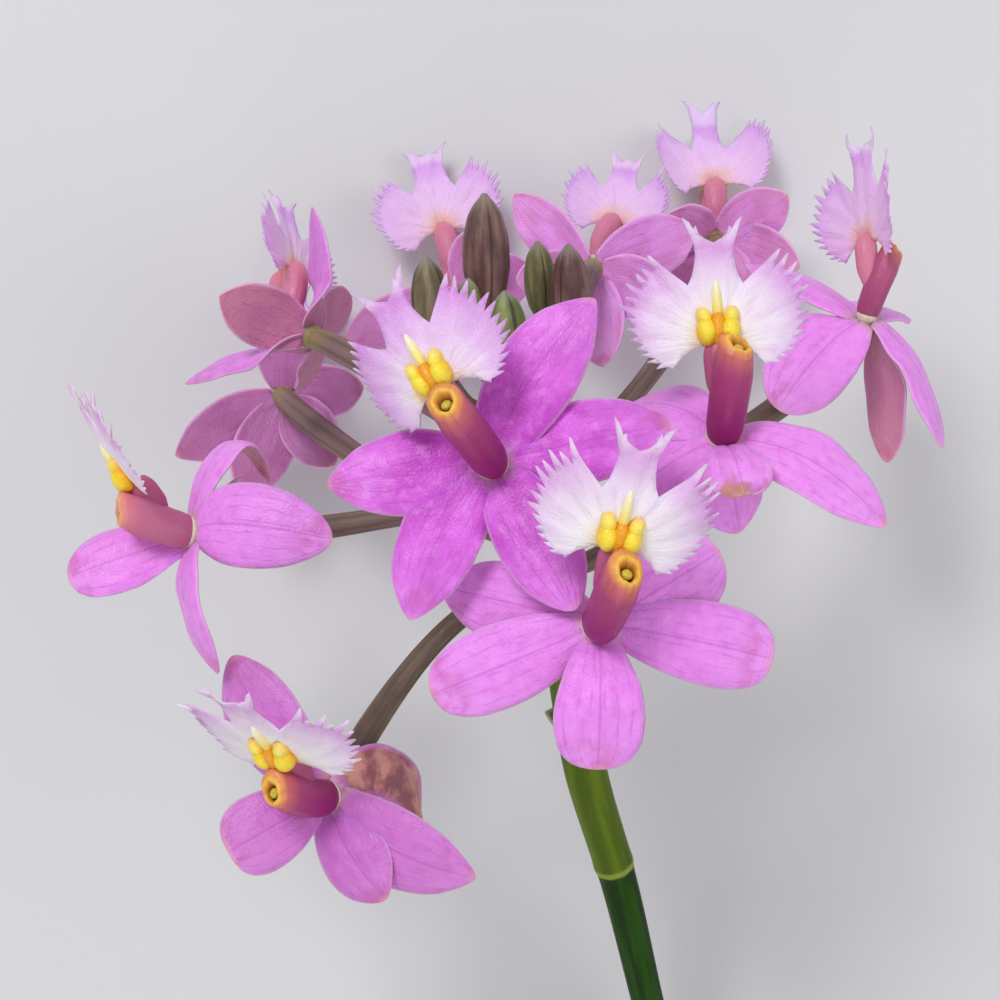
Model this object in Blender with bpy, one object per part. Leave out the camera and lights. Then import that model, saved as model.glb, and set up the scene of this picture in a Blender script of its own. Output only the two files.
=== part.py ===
"""Flower head of an epidendrum orchid on its cut stem, lying on its back.

Eleven open flowers, seven buds and their stalks stand round one stem. Each flower has five tepals
joined at a small hub, a column, and a three-lobed fringed lip that is held uppermost.
All sizes and places are in millimetres here and turned into metres when a mesh is made. Places are
given from the middle of the head: X to the right, Y up the stem, Z up off the surface.
"""

import math
import random

import bmesh
import bpy
import numpy as np
from mathutils.geometry import delaunay_2d_cdt

MM = 0.001
# Where the middle of the head stands in the part's frame, whose origin is at the middle of the
# bottom of the whole.
HEAD = np.array((-1.83, 21.0, 37.6))
FLOOR = -HEAD[2]

SHEET = 0.62
GAP = 0.3
SETTLE = 0.06

HUB_RADIUS = 1.9
HUB_FRONT = 0.8
HUB_BACK = 1.0
COLUMN_RISE = 0.3
HUB_TAPER = 0.8
HUB_SIDES = 8

TEPAL_START = 0.9
TEPAL_ROWS = 6
CURLED_TEPAL_ROWS = 8
TEPAL_TURNED_BY = 0.45
TEPAL_MIDDLE = 0.45
TEPAL_BOW = 1.6
# Width along a tepal: its share at the foot, how it swells, and how a pointed and a round tip close.
TEPAL_FOOT = 0.16
TEPAL_SWELL = 0.85
TEPAL_POINTED = 0.8
TEPAL_ROUND = 0.32
# Height of each tepal's foot on the hub, set apart so that no two sheets share a face.
TEPAL_LEVELS = (-0.13, 0.117, -0.096, 0.151, -0.062)

COLUMN_RADII = (1.55, 1.75, 1.8, 1.85, 1.9, 1.65)
COLUMN_SIDES = 8
MOUTH_RADIUS = 0.95
MOUTH_DEPTH = 0.9
MOUTH_TAPER = 0.8
COLUMN_BEND = 0.35

PEDICEL_RADII = (0.95, 1.0, 1.05, 1.12, 1.25, 1.35, 1.35, 1.15)
PEDICEL_SIDES = 6
PEDICEL_STRAIGHT = 8.0
PEDICEL_END_GAP = 0.55
STALK_CLEAR = 0.25
STALK_CURVE = 0.4

STEM_LINE = (
    (24.6, -88.0, -36.0),
    (16.6, -56.3, -23.0),
    (12.9, -41.4, -15.0),
    (9.1, -28.8, -8.0),
    (6.0, -12.0, 0.0),
    (3.2, 2.0, 5.0),
    (1.0, 14.0, 10.5),
)
STEM_RADII = (1.75, 1.8, 2.0, 2.25, 2.0, 1.6, 1.1)
STEM_SIDES = 10
STEM_RINGS = 22

# The right half of a lip that lies flat, from the middle of its throat out and up to the notch
# between its two horns. The fringed edge of the side lobe is worked out between these two runs.
LIP_THROAT_EDGE = ((0.0, 0.0), (2.3, -0.3), (3.6, -1.1), (4.6, -2.3))
LIP_MIDDLE_LOBE = ((2.75, 5.9), (2.2, 7.6), (1.85, 9.6), (3.0, 12.6), (1.5, 11.4), (0.0, 10.1))
LIP_FRINGE_ANGLES = (112.0, 33.0)
LIP_FRINGE_RADII = (5.4, 6.8, 8.1, 8.9, 9.4, 9.5)
LIP_FRINGE_TEETH = 8
LIP_TOOTH_LENGTHS = (0.5, 1.8)
LIP_TOOTH_VARIES = (0.75, 1.2)
LIP_TOOTH_SHIFTS = 1.4
LIP_TOOTH_LEANS = 2.5
# Widths over which a lip's fold and arch are given in degrees, and where its arch sets in.
LIP_FOLD_OVER = 8.0
LIP_ARCH_OVER = 10.0
LIP_ARCH_FROM = 2.0
LIP_CLEAR = 0.3
LIP_INNER_POINTS = ((3.0, (0, 60)), (6.2, (0, 45, 85)))
CALLUS_BULB = dict(at=(1.1, 1.7, 0.5), radii=(0.95, 1.35, 0.95))
CALLUS_KEEL = dict(at=(0.0, 4.2, 0.2), radii=(0.6, 2.4, 0.75))
CLAW_RADII = (0.5, 0.7, 0.85)
CLAW_REACH = 0.55
CLAW_SIDES = 6
CLAW_UP = 0.9
CLAW_OUT = 0.1
CLAW_BOW = 0.4


def tepal(tip, width, bow=1.2, via=(), blunt=0.5, cup=0.12, sway=(0.0, 0.0), face=None):
    """A tepal from the hub to its tip.

    Bow lifts its middle towards where the flower faces, and sway moves its middle along X and Y.
    Via are the control points of one that curls over instead.
    """
    return dict(tip=tip, width=width, bow=bow, via=via, blunt=blunt, cup=cup, sway=sway, face=face)


FLOWERS = (
    dict(
        name="left", at=(-30.2, -3.2, 8.0), facing=(-0.8, 0.15, 0.58), column=(-6.3, 2.1, 2.5),
        lip_up=(-0.6, 0.78, -0.1), lip_face=(-0.78, -0.6, 0.15), fold=12, arch=14, scale=0.95,
        root=0.87, leave=(-9.0, -1.0, 1.0),
        tepals=(
            tepal((-12.6, -4.5, -2.0), 6.6, bow=0.3, blunt=0.85, face=(-0.3, 0.2, 0.93)),
            tepal((14.0, -0.6, 4.0), 8.3, bow=3.0, blunt=0.6, sway=(0.0, 0.9), face=(-0.35, 0.1, 0.93)),
            tepal((2.9, -13.6, 3.0), 6.0, bow=2.0, sway=(-0.6, 0.0), face=(-0.88, -0.15, 0.45)),
            tepal((7.0, 5.0, -5.0), 6.0, via=((0.5, 6.5, -1.0), (4.5, 13.5, -3.0))),
            tepal((3.0, 5.0, -12.0), 6.5, bow=0.0),
        ),
    ),
    dict(
        name="low_left", at=(-16.6, -28.4, 12.0), facing=(-0.3, -0.1, 0.95), column=(-4.3, 1.5, 7.2),
        lip_up=(-0.35, 0.62, 0.7), lip_face=(-0.32, -0.74, 0.5), fold=15, arch=-12, scale=0.98,
        beside=(-0.1, 1.0, 0.0), root=0.775, leave=(-9.0, 3.0, -1.0), arrive=(2.2, 3.4, -8.2),
        tepals=(
            tepal((-9.6, 13.1, -3.0), 8.0, sway=(-0.8, -0.4)),
            tepal((-9.1, -4.9, 3.8), 7.6, bow=0.4, blunt=1.0),
            tepal((5.9, -9.3, 4.0), 7.4, bow=0.5, sway=(-0.8, -0.3)),
            tepal((14.3, -7.3, 4.0), 7.8, bow=2.0, blunt=0.3, sway=(-0.3, -1.0)),
            tepal((8.5, -4.3, -6.0), 5.4, via=((3.5, 3.0, 0.0), (8.2, 3.8, -2.5))),
        ),
    ),
    dict(
        name="centre", at=(-0.7, 3.3, 30.0), facing=(-0.12, 0.12, 0.98), column=(-3.9, 4.9, 7.6),
        lip_up=(-0.55, 0.83, 0.05), lip_face=(-0.3, -0.2, 0.93), fold=40, arch=12, scale=0.87,
        root=0.885, leave=(-1.0, 0.0, 6.0),
        tepals=(
            tepal((9.1, 14.5, -1.0), 7.8, blunt=0.3, sway=(-0.9, 0.5)),
            tepal((15.8, 3.4, -1.5), 7.4),
            tepal((7.15, -12.75, 4.7), 7.2, blunt=0.5, sway=(0.0, 0.3)),
            tepal((-7.2, -13.8, 0.5), 7.4, blunt=0.35, sway=(-1.0, 0.4)),
            tepal((-14.6, -1.9, -1.0), 7.6, blunt=0.3),
        ),
    ),
    dict(
        name="front", at=(8.6, -10.8, 33.0), facing=(0.03, 0.05, 1.0), column=(1.8, 4.9, 8.2),
        lip_up=(0.2, 0.86, 0.42), lip_face=(0.0, -0.42, 0.9), fold=25, arch=10, scale=0.88,
        root=0.745, leave=(0.5, 0.0, 6.0),
        tepals=(
            tepal((10.8, 6.2, -4.0), 8.2, blunt=0.9),
            tepal((15.4, -3.2, -3.0), 7.4, blunt=1.0, sway=(0.0, 0.3)),
            tepal((-0.2, -12.4, 1.0), 7.9, bow=3.0, blunt=1.0),
            tepal((-14.6, -6.3, -3.0), 7.4, blunt=0.9),
            tepal((-13.8, 3.0, -7.0), 7.4),
        ),
    ),
    dict(
        name="right", at=(20.6, 5.8, 20.0), facing=(0.02, 0.5, 0.86), column=(0.75, 8.0, 4.6),
        lip_up=(-0.05, 1.0, 0.0), lip_face=(0.0, 0.0, 1.0), fold=17, arch=5, scale=0.93,
        beside=(-0.45, 0.35, -0.85), root=0.80, leave=(5.0, 0.0, 4.0), arrive=(-1.0, -3.2, -7.5),
        tepals=(
            tepal((15.0, -8.2, 1.0), 6.9, bow=2.5, blunt=0.4, sway=(0.4, 1.0)),
            tepal((1.4, -5.4, 6.3), 6.2, bow=1.6, blunt=1.0),
            tepal((2.2, -8.9, -6.0), 7.4, bow=0.5),
            tepal((-9.5, -6.0, -1.0), 7.8),
            tepal((-8.0, 3.4, -8.0), 7.0, bow=2.5),
        ),
    ),
    dict(
        name="far_right", at=(38.2, 18.8, -5.0), facing=(0.15, 0.85, 0.4), column=(2.6, 7.0, 1.2),
        lip_up=(-0.06, 1.0, 0.02), lip_face=(0.93, 0.0, -0.36), fold=25, arch=0, scale=0.88,
        beside=(-0.9, 0.3, -0.2), stout=0.72, root=0.845, leave=(8.0, 0.0, -2.0), arrive=(-2.0, -5.2, -3.8),
        tepals=(
            tepal((-10.0, -9.6, 6.0), 8.8, bow=1.0, blunt=0.7, sway=(-0.5, 0.4), face=(0.2, 0.2, 0.95)),
            tepal((7.8, -13.4, 1.0), 6.4, bow=1.0, sway=(1.2, 0.6), face=(0.8, 0.3, 0.5)),
            tepal((3.0, -14.8, -5.0), 5.6, bow=0.0, sway=(1.2, 0.0), face=(0.75, 0.2, -0.6)),
            tepal((4.4, 1.8, -12.0), 7.0, bow=1.0),
            tepal((-11.7, 6.6, -7.0), 6.8, bow=1.0, face=(0.4, 0.75, 0.5)),
        ),
    ),
    dict(
        name="top_right", at=(25.0, 30.0, -29.9), facing=(0.1, 0.3, -0.95), column=(0.3, 5.8, -6.0),
        lip_up=(-0.1, 0.82, -0.58), lip_face=(0.0, -0.5, -0.8), fold=55, arch=0, scale=0.9,
        beside=(0.0, 0.5, 0.85), root=0.90, leave=(8.5, 0.0, -6.0), arrive=(0.3, -3.6, 5.0),
        tepals=(
            tepal((7.6, 4.6, 5.0), 6.4, bow=0.5),
            tepal((9.0, -3.5, 5.0), 6.6),
            tepal((1.5, -9.6, 5.0), 7.0),
            tepal((-7.5, -6.0, 3.0), 7.0),
            tepal((-6.2, 2.2, 5.5), 6.0, bow=0.2),
        ),
    ),
    dict(
        name="top", at=(10.2, 25.6, -20.0), facing=(0.15, 0.25, -0.95), column=(4.3, 3.7, -7.2),
        lip_up=(0.2, 0.9, -0.4), lip_face=(0.1, -0.42, -0.9), fold=42, arch=0, scale=0.74,
        root=0.95, leave=(2.0, 3.0, -5.0),
        tepals=(
            tepal((-8.6, 9.0, -4.0), 5.8, blunt=0.3, sway=(-0.4, -0.4)),
            tepal((11.7, 4.7, -3.0), 7.2),
            tepal((9.0, -4.4, 4.5), 7.0),
            tepal((1.0, -11.0, 4.5), 6.0),
            tepal((-8.4, -1.4, 2.0), 5.6),
        ),
    ),
    dict(
        name="top_left", at=(-4.2, 23.4, -27.0), facing=(-0.1, 0.3, -0.94), column=(-1.6, 6.9, -7.4),
        lip_up=(-0.24, 0.94, -0.24), lip_face=(0.05, -0.24, -0.97), fold=20, arch=0, scale=0.85,
        root=0.93, leave=(-2.0, 1.0, -6.0),
        tepals=(
            tepal((-13.4, -5.0, 1.0), 6.4),
            tepal((8.0, 3.0, -3.0), 6.6),
            tepal((7.5, -8.0, 3.0), 6.6),
            tepal((-3.0, -11.5, 4.0), 6.6),
            tepal((2.6, 7.5, 4.0), 6.0),
        ),
    ),
    dict(
        name="high_left", at=(-19.8, 17.1, -5.0), facing=(-0.75, 0.3, -0.55), column=(-3.4, 5.8, -5.6),
        lip_up=(-0.16, 0.9, -0.4), lip_face=(-0.85, -0.2, -0.45), fold=15, arch=0, scale=0.74,
        beside=(0.5, 0.6, 0.6), root=0.915, leave=(-7.0, 2.0, 0.0),
        tepals=(
            tepal((-8.8, 3.7, 5.0), 6.6, bow=0.5, blunt=0.3, face=(-0.3, 0.3, -0.9)),
            tepal((0.4, 13.2, 2.0), 6.6, bow=0.2, blunt=0.2, sway=(0.8, 0.0), face=(-0.9, 0.0, 0.42)),
            tepal((-13.0, -5.0, 0.0), 5.6, blunt=0.2, face=(-0.3, 0.85, 0.42)),
            tepal((3.6, 4.4, -11.0), 6.4),
            tepal((-1.0, -4.0, -12.5), 6.4, bow=0.5),
        ),
    ),
    dict(
        name="mid_left", at=(-24.9, 11.9, -28.3), facing=(-0.05, 0.15, -0.99), column=(0.2, 4.8, -7.6),
        lip_up=(0.0, 0.76, -0.65), lip_face=(0.0, -0.65, -0.76), fold=60, arch=0, scale=0.8,
        beside=(0.0, 0.6, 0.7), root=0.825, leave=(-7.0, 0.0, -3.0),
        tepals=(
            tepal((-12.0, -6.9, 3.0), 6.6, blunt=0.3),
            tepal((-4.0, -11.6, 4.5), 7.0),
            tepal((6.3, -8.0, 6.0), 6.6),
            tepal((9.4, 0.9, 4.0), 6.2),
            tepal((0.5, 10.0, 1.5), 6.6, bow=-0.3),
        ),
    ),
)

# Each bud: where its stalk leaves the stem, its base and its tip, and its greatest radius.
BUDS = (
    dict(name="tall", root=0.965, base=(-1.2, 18.6, 12.0), tip=(-1.5, 29.3, 14.0), radius=2.3),
    dict(name="left", root=0.955, base=(-6.2, 15.0, 15.0), tip=(-7.0, 23.0, 16.5), radius=1.85),
    dict(name="green_top", root=1.0, base=(-2.8, 15.8, 16.2), tip=(-3.0, 20.8, 17.8), radius=1.3),
    dict(name="green_low", root=0.982, base=(1.0, 13.4, 18.2), tip=(0.4, 19.4, 20.0), radius=1.75),
    dict(name="right_back", root=0.975, base=(4.2, 18.0, 9.0), tip=(3.6, 25.1, 11.0), radius=1.6),
    dict(name="right", root=0.96, base=(7.0, 15.8, 12.5), tip=(6.5, 24.4, 14.5), radius=1.95),
    dict(name="small", root=0.94, base=(-5.0, 12.0, 8.5), tip=(-8.0, 17.0, 10.0), radius=1.1),
)
BUD_STALK_RADIUS = 0.7
BUD_PROFILE = ((0.0, 0.45), (0.12, 0.8), (0.35, 1.0), (0.6, 0.95), (0.82, 0.62), (0.95, 0.28))
BUD_SIDES = 7
BUD_TIP_RADIUS = 0.15
BUD_STALK_STATIONS = (0, 0.3, 0.6, 0.85)

# The one large bract, which sheathes the stem below the lowest stalk.
BRACT = dict(root=0.625, tip=(4.9, -22.2, -5.5), width=3.4)
BRACT_ROWS = 4

SHARP_ANGLE = 40.0

COLOURS = {
    "stem": ((0.07, 0.14, 0.03), 0.45),
    "pedicel": ((0.16, 0.11, 0.08), 0.5),
    "tepal": ((0.60, 0.13, 0.52), 0.55),
    "column": ((0.42, 0.05, 0.17), 0.45),
    "lip": ((0.78, 0.62, 0.78), 0.55),
    "bud": ((0.13, 0.09, 0.07), 0.5),
}


def unit(vector):
    return np.asarray(vector, float) / np.linalg.norm(vector)


def across(vector, axis):
    """The part of a vector that stands square to an axis, at length one."""
    return unit(vector - np.dot(vector, axis) * axis)


def bezier(controls, s):
    """Point and direction at s along the Bezier curve through its control points."""
    points = np.array(controls, float)
    while len(points) > 2:
        points = points[:-1] + (points[1:] - points[:-1]) * s
    return points[0] + (points[1] - points[0]) * s, unit(points[1] - points[0])


def smooth_line(points, radii, s):
    """Point, direction and radius at s along a Catmull-Rom curve, whose knots stand at their true spacing."""
    points = np.array(points, float)
    knots = np.concatenate([[0.0], np.cumsum(np.linalg.norm(np.diff(points, axis=0), axis=1))])
    knots /= knots[-1]
    slopes = np.gradient(points, knots, axis=0)
    i = min(int(np.searchsorted(knots, s, side="right")) - 1, len(points) - 2)
    width = knots[i + 1] - knots[i]
    t = (s - knots[i]) / width
    a, b = points[i], points[i + 1]
    m, n = slopes[i] * width, slopes[i + 1] * width
    at = (2 * t**3 - 3 * t**2 + 1) * a + (t**3 - 2 * t**2 + t) * m + (3 * t**2 - 2 * t**3) * b + (t**3 - t**2) * n
    along = (6 * t**2 - 6 * t) * (a - b) + (3 * t**2 - 4 * t + 1) * m + (3 * t**2 - 2 * t) * n
    return at, unit(along), float(np.interp(s, knots, radii))


def carried(directions, first):
    """A side direction for each point of a line, carried along it without twist."""
    sides = [across(np.asarray(first, float), directions[0])]
    for direction in directions[1:]:
        sides.append(across(sides[-1], direction))
    return sides


def new_object(name, points, faces, slot):
    mesh = bpy.data.meshes.new(name)
    mesh.from_pydata([tuple(p) for p in (np.array(points) + HEAD) * MM], [], faces)
    mesh.materials.append(bpy.data.materials[slot])
    made = bpy.data.objects.new(name, mesh)
    bpy.context.scene.collection.objects.link(made)
    return made


def outward(made):
    """Turns every face of a closed mesh outwards."""
    shape = bmesh.new()
    shape.from_mesh(made.data)
    bmesh.ops.recalc_face_normals(shape, faces=shape.faces)
    shape.to_mesh(made.data)
    shape.free()
    return made


def tube(name, centres, directions, radii, sides, slot, first=(0.13, 0.31, 0.94), low=None):
    """A closed round tube. Low is the height that no point of it goes below."""
    points = []
    faces = []
    for centre, direction, side, radius in zip(centres, directions, carried(directions, first), radii):
        other = np.cross(direction, side)
        for k in range(sides):
            turn = 2 * math.pi * k / sides
            points.append(centre + radius * (math.cos(turn) * side + math.sin(turn) * other))
    for ring in range(len(centres) - 1):
        for k in range(sides):
            a = ring * sides + k
            b = ring * sides + (k + 1) % sides
            faces.append((a, b, b + sides, a + sides))
    faces.append(tuple(reversed(range(sides))))
    faces.append(tuple(range(len(points) - sides, len(points))))
    points = np.array(points)
    if low is not None:
        points[:, 2] = np.maximum(points[:, 2], low)
    return outward(new_object(name, points, faces, slot))


def sheet(name, points, triangles, slot):
    """A thin blade of even thickness round its middle surface, lying on the floor where it reaches it."""
    points = np.array(points)
    points[:, 2] = np.maximum(points[:, 2], FLOOR + SHEET / 2)
    made = new_object(name, points, triangles, slot)
    solidify = made.modifiers.new("thickness", "SOLIDIFY")
    solidify.thickness = SHEET * MM
    solidify.offset = 0
    return made


def evaluated(made):
    """Replaces an object's mesh by what its modifiers make of it."""
    bpy.context.view_layer.update()
    graph = bpy.context.evaluated_depsgraph_get()
    mesh = bpy.data.meshes.new_from_object(made.evaluated_get(graph))
    mesh.name = made.name
    old = made.data
    made.modifiers.clear()
    made.data = mesh
    bpy.data.meshes.remove(old)


def fuse(made, repeats):
    """Joins closed shapes to an object with one Boolean union, and removes them."""
    group = bpy.data.collections.new("repeats")
    bpy.context.scene.collection.children.link(group)
    for repeat in repeats:
        evaluated(repeat)
        outward(repeat)
        group.objects.link(repeat)
    evaluated(made)
    outward(made)
    union = made.modifiers.new("union", "BOOLEAN")
    union.operation = "UNION"
    union.operand_type = "COLLECTION"
    union.collection = group
    evaluated(made)
    for repeat in repeats:
        bpy.data.objects.remove(repeat)
    bpy.data.collections.remove(group)
    return made


def settled(made):
    """Lays flat on the floor what all but touches it."""
    for vertex in made.data.vertices:
        if vertex.co.z < SETTLE * MM:
            vertex.co.z = 0
    return made


def tepal_stations(shape, rows):
    """Where the rows of a tepal stand along it. They close up towards the tip, unless it curls over."""
    even = np.linspace(0, 1, rows + 1)
    return even if shape["via"] else np.sin(np.pi / 2 * even)


def tepal_line(flower, shape, level, stations):
    """Points and directions along the middle of a tepal, and the way that it faces at each."""
    facing = unit(flower["facing"])
    tip = np.array(shape["tip"], float)
    sway = np.array((*shape["sway"], 0.0))
    inner = [np.array(p, float) for p in shape["via"]]
    if not inner:
        inner = [TEPAL_MIDDLE * tip + TEPAL_BOW * (shape["bow"] * facing + sway)]
    start = TEPAL_START * across(inner[0], facing) + level * facing
    spots = [bezier((start, *inner, tip), s) for s in stations]
    directions = [direction for _, direction in spots]
    if shape["via"]:
        return spots, carried(directions, facing)
    face = unit(shape["face"]) if shape["face"] else facing
    turns = [min(s / TEPAL_TURNED_BY, 1.0) for s in stations]
    return spots, [across(facing + (face - facing) * t, d) for t, d in zip(turns, directions)]


def tepal_widths(shape, stations):
    """Half the width of a tepal at each place along it."""
    def profile(s):
        taper = TEPAL_POINTED + (TEPAL_ROUND - TEPAL_POINTED) * shape["blunt"]
        return ((s + TEPAL_FOOT) / (1 + TEPAL_FOOT)) ** TEPAL_SWELL * (1 - s) ** taper

    widest = profile(np.linspace(0, 1, 50)).max()
    return shape["width"] / 2 * profile(np.asarray(stations)) / widest


def tepal_middle(flower, shape, level, rows, columns):
    """Middle surface of one tepal: its points, and triangles that split both faces alike."""
    stations = tepal_stations(shape, rows)
    spots, normals = tepal_line(flower, shape, level, stations)
    points = []
    for half, (middle, direction), normal in zip(tepal_widths(shape, stations[:-1]), spots, normals):
        side = np.cross(direction, normal)
        for u in np.linspace(-1, 1, columns + 1):
            points.append(middle + half * (u * side - shape["cup"] * u * u * normal))
    points.append(spots[-1][0])
    triangles = []
    wide = columns + 1
    for row in range(rows - 1):
        for column in range(columns):
            a = row * wide + column
            corners = (a, a + 1, a + wide + 1, a + wide)
            if column < columns / 2:
                triangles += [(corners[0], corners[1], corners[2]), (corners[0], corners[2], corners[3])]
            else:
                triangles += [(corners[0], corners[1], corners[3]), (corners[1], corners[2], corners[3])]
    last = (rows - 1) * wide
    triangles += [(last + column, last + column + 1, len(points) - 1) for column in range(columns)]
    return np.array(flower["at"]) + np.array(points), triangles


def make_perianth(flower):
    """The five tepals, fused at the hub that they grow from."""
    at = np.array(flower["at"])
    facing = unit(flower["facing"])
    name = "perianth_" + flower["name"]
    levels = (-HUB_BACK, -0.6 * HUB_BACK, 0.6 * HUB_FRONT, HUB_FRONT)
    radii = (HUB_TAPER * HUB_RADIUS, HUB_RADIUS, HUB_RADIUS, HUB_TAPER * HUB_RADIUS)
    hub = tube(name, [at + level * facing for level in levels], [facing] * 4, radii, HUB_SIDES, "tepal")
    blades = []
    for shape, level in zip(flower["tepals"], TEPAL_LEVELS):
        rows = CURLED_TEPAL_ROWS if shape["via"] else TEPAL_ROWS
        points, triangles = tepal_middle(flower, shape, level, rows, 2)
        blades.append(sheet(f"{name}_{len(blades)}", points, triangles, "tepal"))
    return fuse(hub, blades)


def column_path(flower):
    """Points and directions along a column, from just off the hub to its mouth."""
    at = np.array(flower["at"])
    facing = unit(flower["facing"])
    start = at + (HUB_FRONT + GAP + COLUMN_RISE) * facing
    tip = at + np.array(flower["column"])
    bend = start + COLUMN_BEND * np.linalg.norm(tip - start) * facing
    return [bezier((start, bend, tip), i / (len(COLUMN_RADII) - 1)) for i in range(len(COLUMN_RADII))]


def make_column(flower):
    """The column, a stout tube with an open mouth at its end."""
    path = column_path(flower)
    centres = [point for point, _ in path]
    directions = [direction for _, direction in path]
    end, out = path[-1]
    centres += [end, end - MOUTH_DEPTH * out]
    directions += [out, out]
    stout = flower.get("stout", 1.0)
    radii = [stout * radius for radius in (*COLUMN_RADII, MOUTH_RADIUS, MOUTH_TAPER * MOUTH_RADIUS)]
    return tube("column_" + flower["name"], centres, directions, radii, COLUMN_SIDES, "column")


def lip_frame(flower):
    """The lip's throat, and its own right, up and forward directions."""
    tip, out = column_path(flower)[-1]
    up = unit(flower["lip_up"])
    forward = across(np.array(flower["lip_face"], float), up)
    right = np.cross(up, forward)
    beside = across(np.array(flower.get("beside", up), float), out)
    throat = tip + (max(COLUMN_RADII) + GAP + SHEET / 2 + LIP_CLEAR) * beside
    return throat, right, up, forward, beside


def lip_half(teeth, draw):
    """The right half of the flat lip's outline, from the throat to the notch."""
    first, last = LIP_FRINGE_ANGLES
    outline = list(LIP_THROAT_EDGE)
    steps = 2 * teeth
    spread = np.linspace(0, 1, len(LIP_FRINGE_RADII))
    for j in range(steps + 1):
        along = j / steps
        shift = draw.uniform(-LIP_TOOTH_SHIFTS, LIP_TOOTH_SHIFTS) if 0 < j < steps else 0
        turn = math.radians(first + (last - first) * along + shift)
        reach = float(np.interp(along, spread, LIP_FRINGE_RADII))
        if j % 2:
            reach += float(np.interp(along, (0, 1), LIP_TOOTH_LENGTHS)) * draw.uniform(*LIP_TOOTH_VARIES)
            turn -= math.radians(LIP_TOOTH_LEANS)
        outline.append((reach * math.sin(turn), reach * math.cos(turn)))
    return outline + list(LIP_MIDDLE_LOBE)


def lip_bent(flower, x, y, lift):
    """Points of the flat lip, and their height over it, on the lip as its flower holds it."""
    throat, right, up, forward, _ = lip_frame(flower)
    fold = math.radians(flower["fold"]) / LIP_FOLD_OVER + 1e-6
    arch = math.radians(flower["arch"]) / LIP_ARCH_OVER
    fallen = (1 - np.cos(fold * x)) / fold + arch * np.maximum(y - LIP_ARCH_FROM, 0) ** 2 / 2
    held = np.multiply.outer(np.sin(fold * x) / fold, right) + np.multiply.outer(y, up)
    return throat + flower["scale"] * (held + np.multiply.outer(lift - fallen, forward))


def lip_middle(flower, teeth, inner):
    """Middle surface of a lip: its points and triangles."""
    draw = random.Random(flower["name"])
    right_half = lip_half(teeth, draw)
    left_half = lip_half(teeth, draw)
    outline = right_half + [(-x, y) for x, y in reversed(left_half[1:-1])]
    spots = []
    for reach, turns in inner:
        for turn in turns:
            for side in (1, -1) if turn else (1,):
                angle = side * math.radians(turn)
                spots.append((reach * math.sin(angle), reach * math.cos(angle)))
    loop = list(range(len(outline)))
    flat, _, triangles, *_ = delaunay_2d_cdt(outline + spots, [], [loop], 1, 1e-5)
    x, y = np.array([tuple(p) for p in flat]).T
    return lip_bent(flower, x, y, 0.0), [tuple(t) for t in triangles]


def knob(name, centre, axes, radii, slot):
    """An egg-shaped knob whose three axes are given."""
    shape = bmesh.new()
    bmesh.ops.create_icosphere(shape, subdivisions=1, radius=1)
    points = [centre + sum(c * r * a for c, r, a in zip(v.co, radii, axes)) for v in shape.verts]
    faces = [[v.index for v in f.verts] for f in shape.faces]
    shape.free()
    return outward(new_object(name, points, faces, slot))


def make_lip(flower):
    """The fringed lip with its two-bulbed callus, its keel, and the claw that runs back by the column."""
    name = "lip_" + flower["name"]
    points, triangles = lip_middle(flower, LIP_FRINGE_TEETH, LIP_INNER_POINTS)
    blade = sheet(name, points, triangles, "lip")
    throat, right, up, forward, beside = lip_frame(flower)
    scale = flower["scale"]
    axes = (right, up, forward)
    extras = []
    for part, mark in ((CALLUS_BULB, 1), (CALLUS_BULB, -1), (CALLUS_KEEL, 1)):
        x, y, z = part["at"]
        centre = throat + scale * (mark * x * right + y * up + z * forward)
        extras.append(knob(f"{name}_{len(extras)}", centre, axes, [scale * r for r in part["radii"]], "lip"))
    path = column_path(flower)
    middle, along = path[int(CLAW_REACH * (len(path) - 1))]
    off = max(COLUMN_RADII) + GAP + CLAW_RADII[-1]
    low = middle + off * across(beside, along)
    high = throat + CLAW_UP * up + CLAW_OUT * beside
    bend = 0.5 * (low + high) + CLAW_BOW * beside
    spots = [bezier((low, bend, high), s) for s in (0, 0.5, 1)]
    centres = [p for p, _ in spots]
    directions = [d for _, d in spots]
    extras.append(tube(f"{name}_claw", centres, directions, CLAW_RADII, CLAW_SIDES, "lip"))
    return settled(fuse(blade, extras))


def stem_at(s):
    return smooth_line(STEM_LINE, STEM_RADII, s)


def make_pedicel(flower):
    """A stalk from the stem's side to the back of its flower's hub. It thickens into the ovary."""
    facing = unit(flower["facing"])
    end = np.array(flower["at"]) - (HUB_BACK + PEDICEL_END_GAP) * facing
    leave = np.array(flower["leave"], float)
    axis, direction, radius = stem_at(flower["root"])
    start = axis + (radius + GAP + STALK_CLEAR) * across(leave, direction)
    arrive = np.array(flower.get("arrive", -PEDICEL_STRAIGHT * facing), float)
    controls = (start, start + leave, end + arrive, end)
    count = len(PEDICEL_RADII)
    spots = [bezier(controls, i / (count - 1)) for i in range(count)]
    name = "pedicel_" + flower["name"]
    return tube(name, [p for p, _ in spots], [d for _, d in spots], PEDICEL_RADII, PEDICEL_SIDES, "pedicel")


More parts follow.
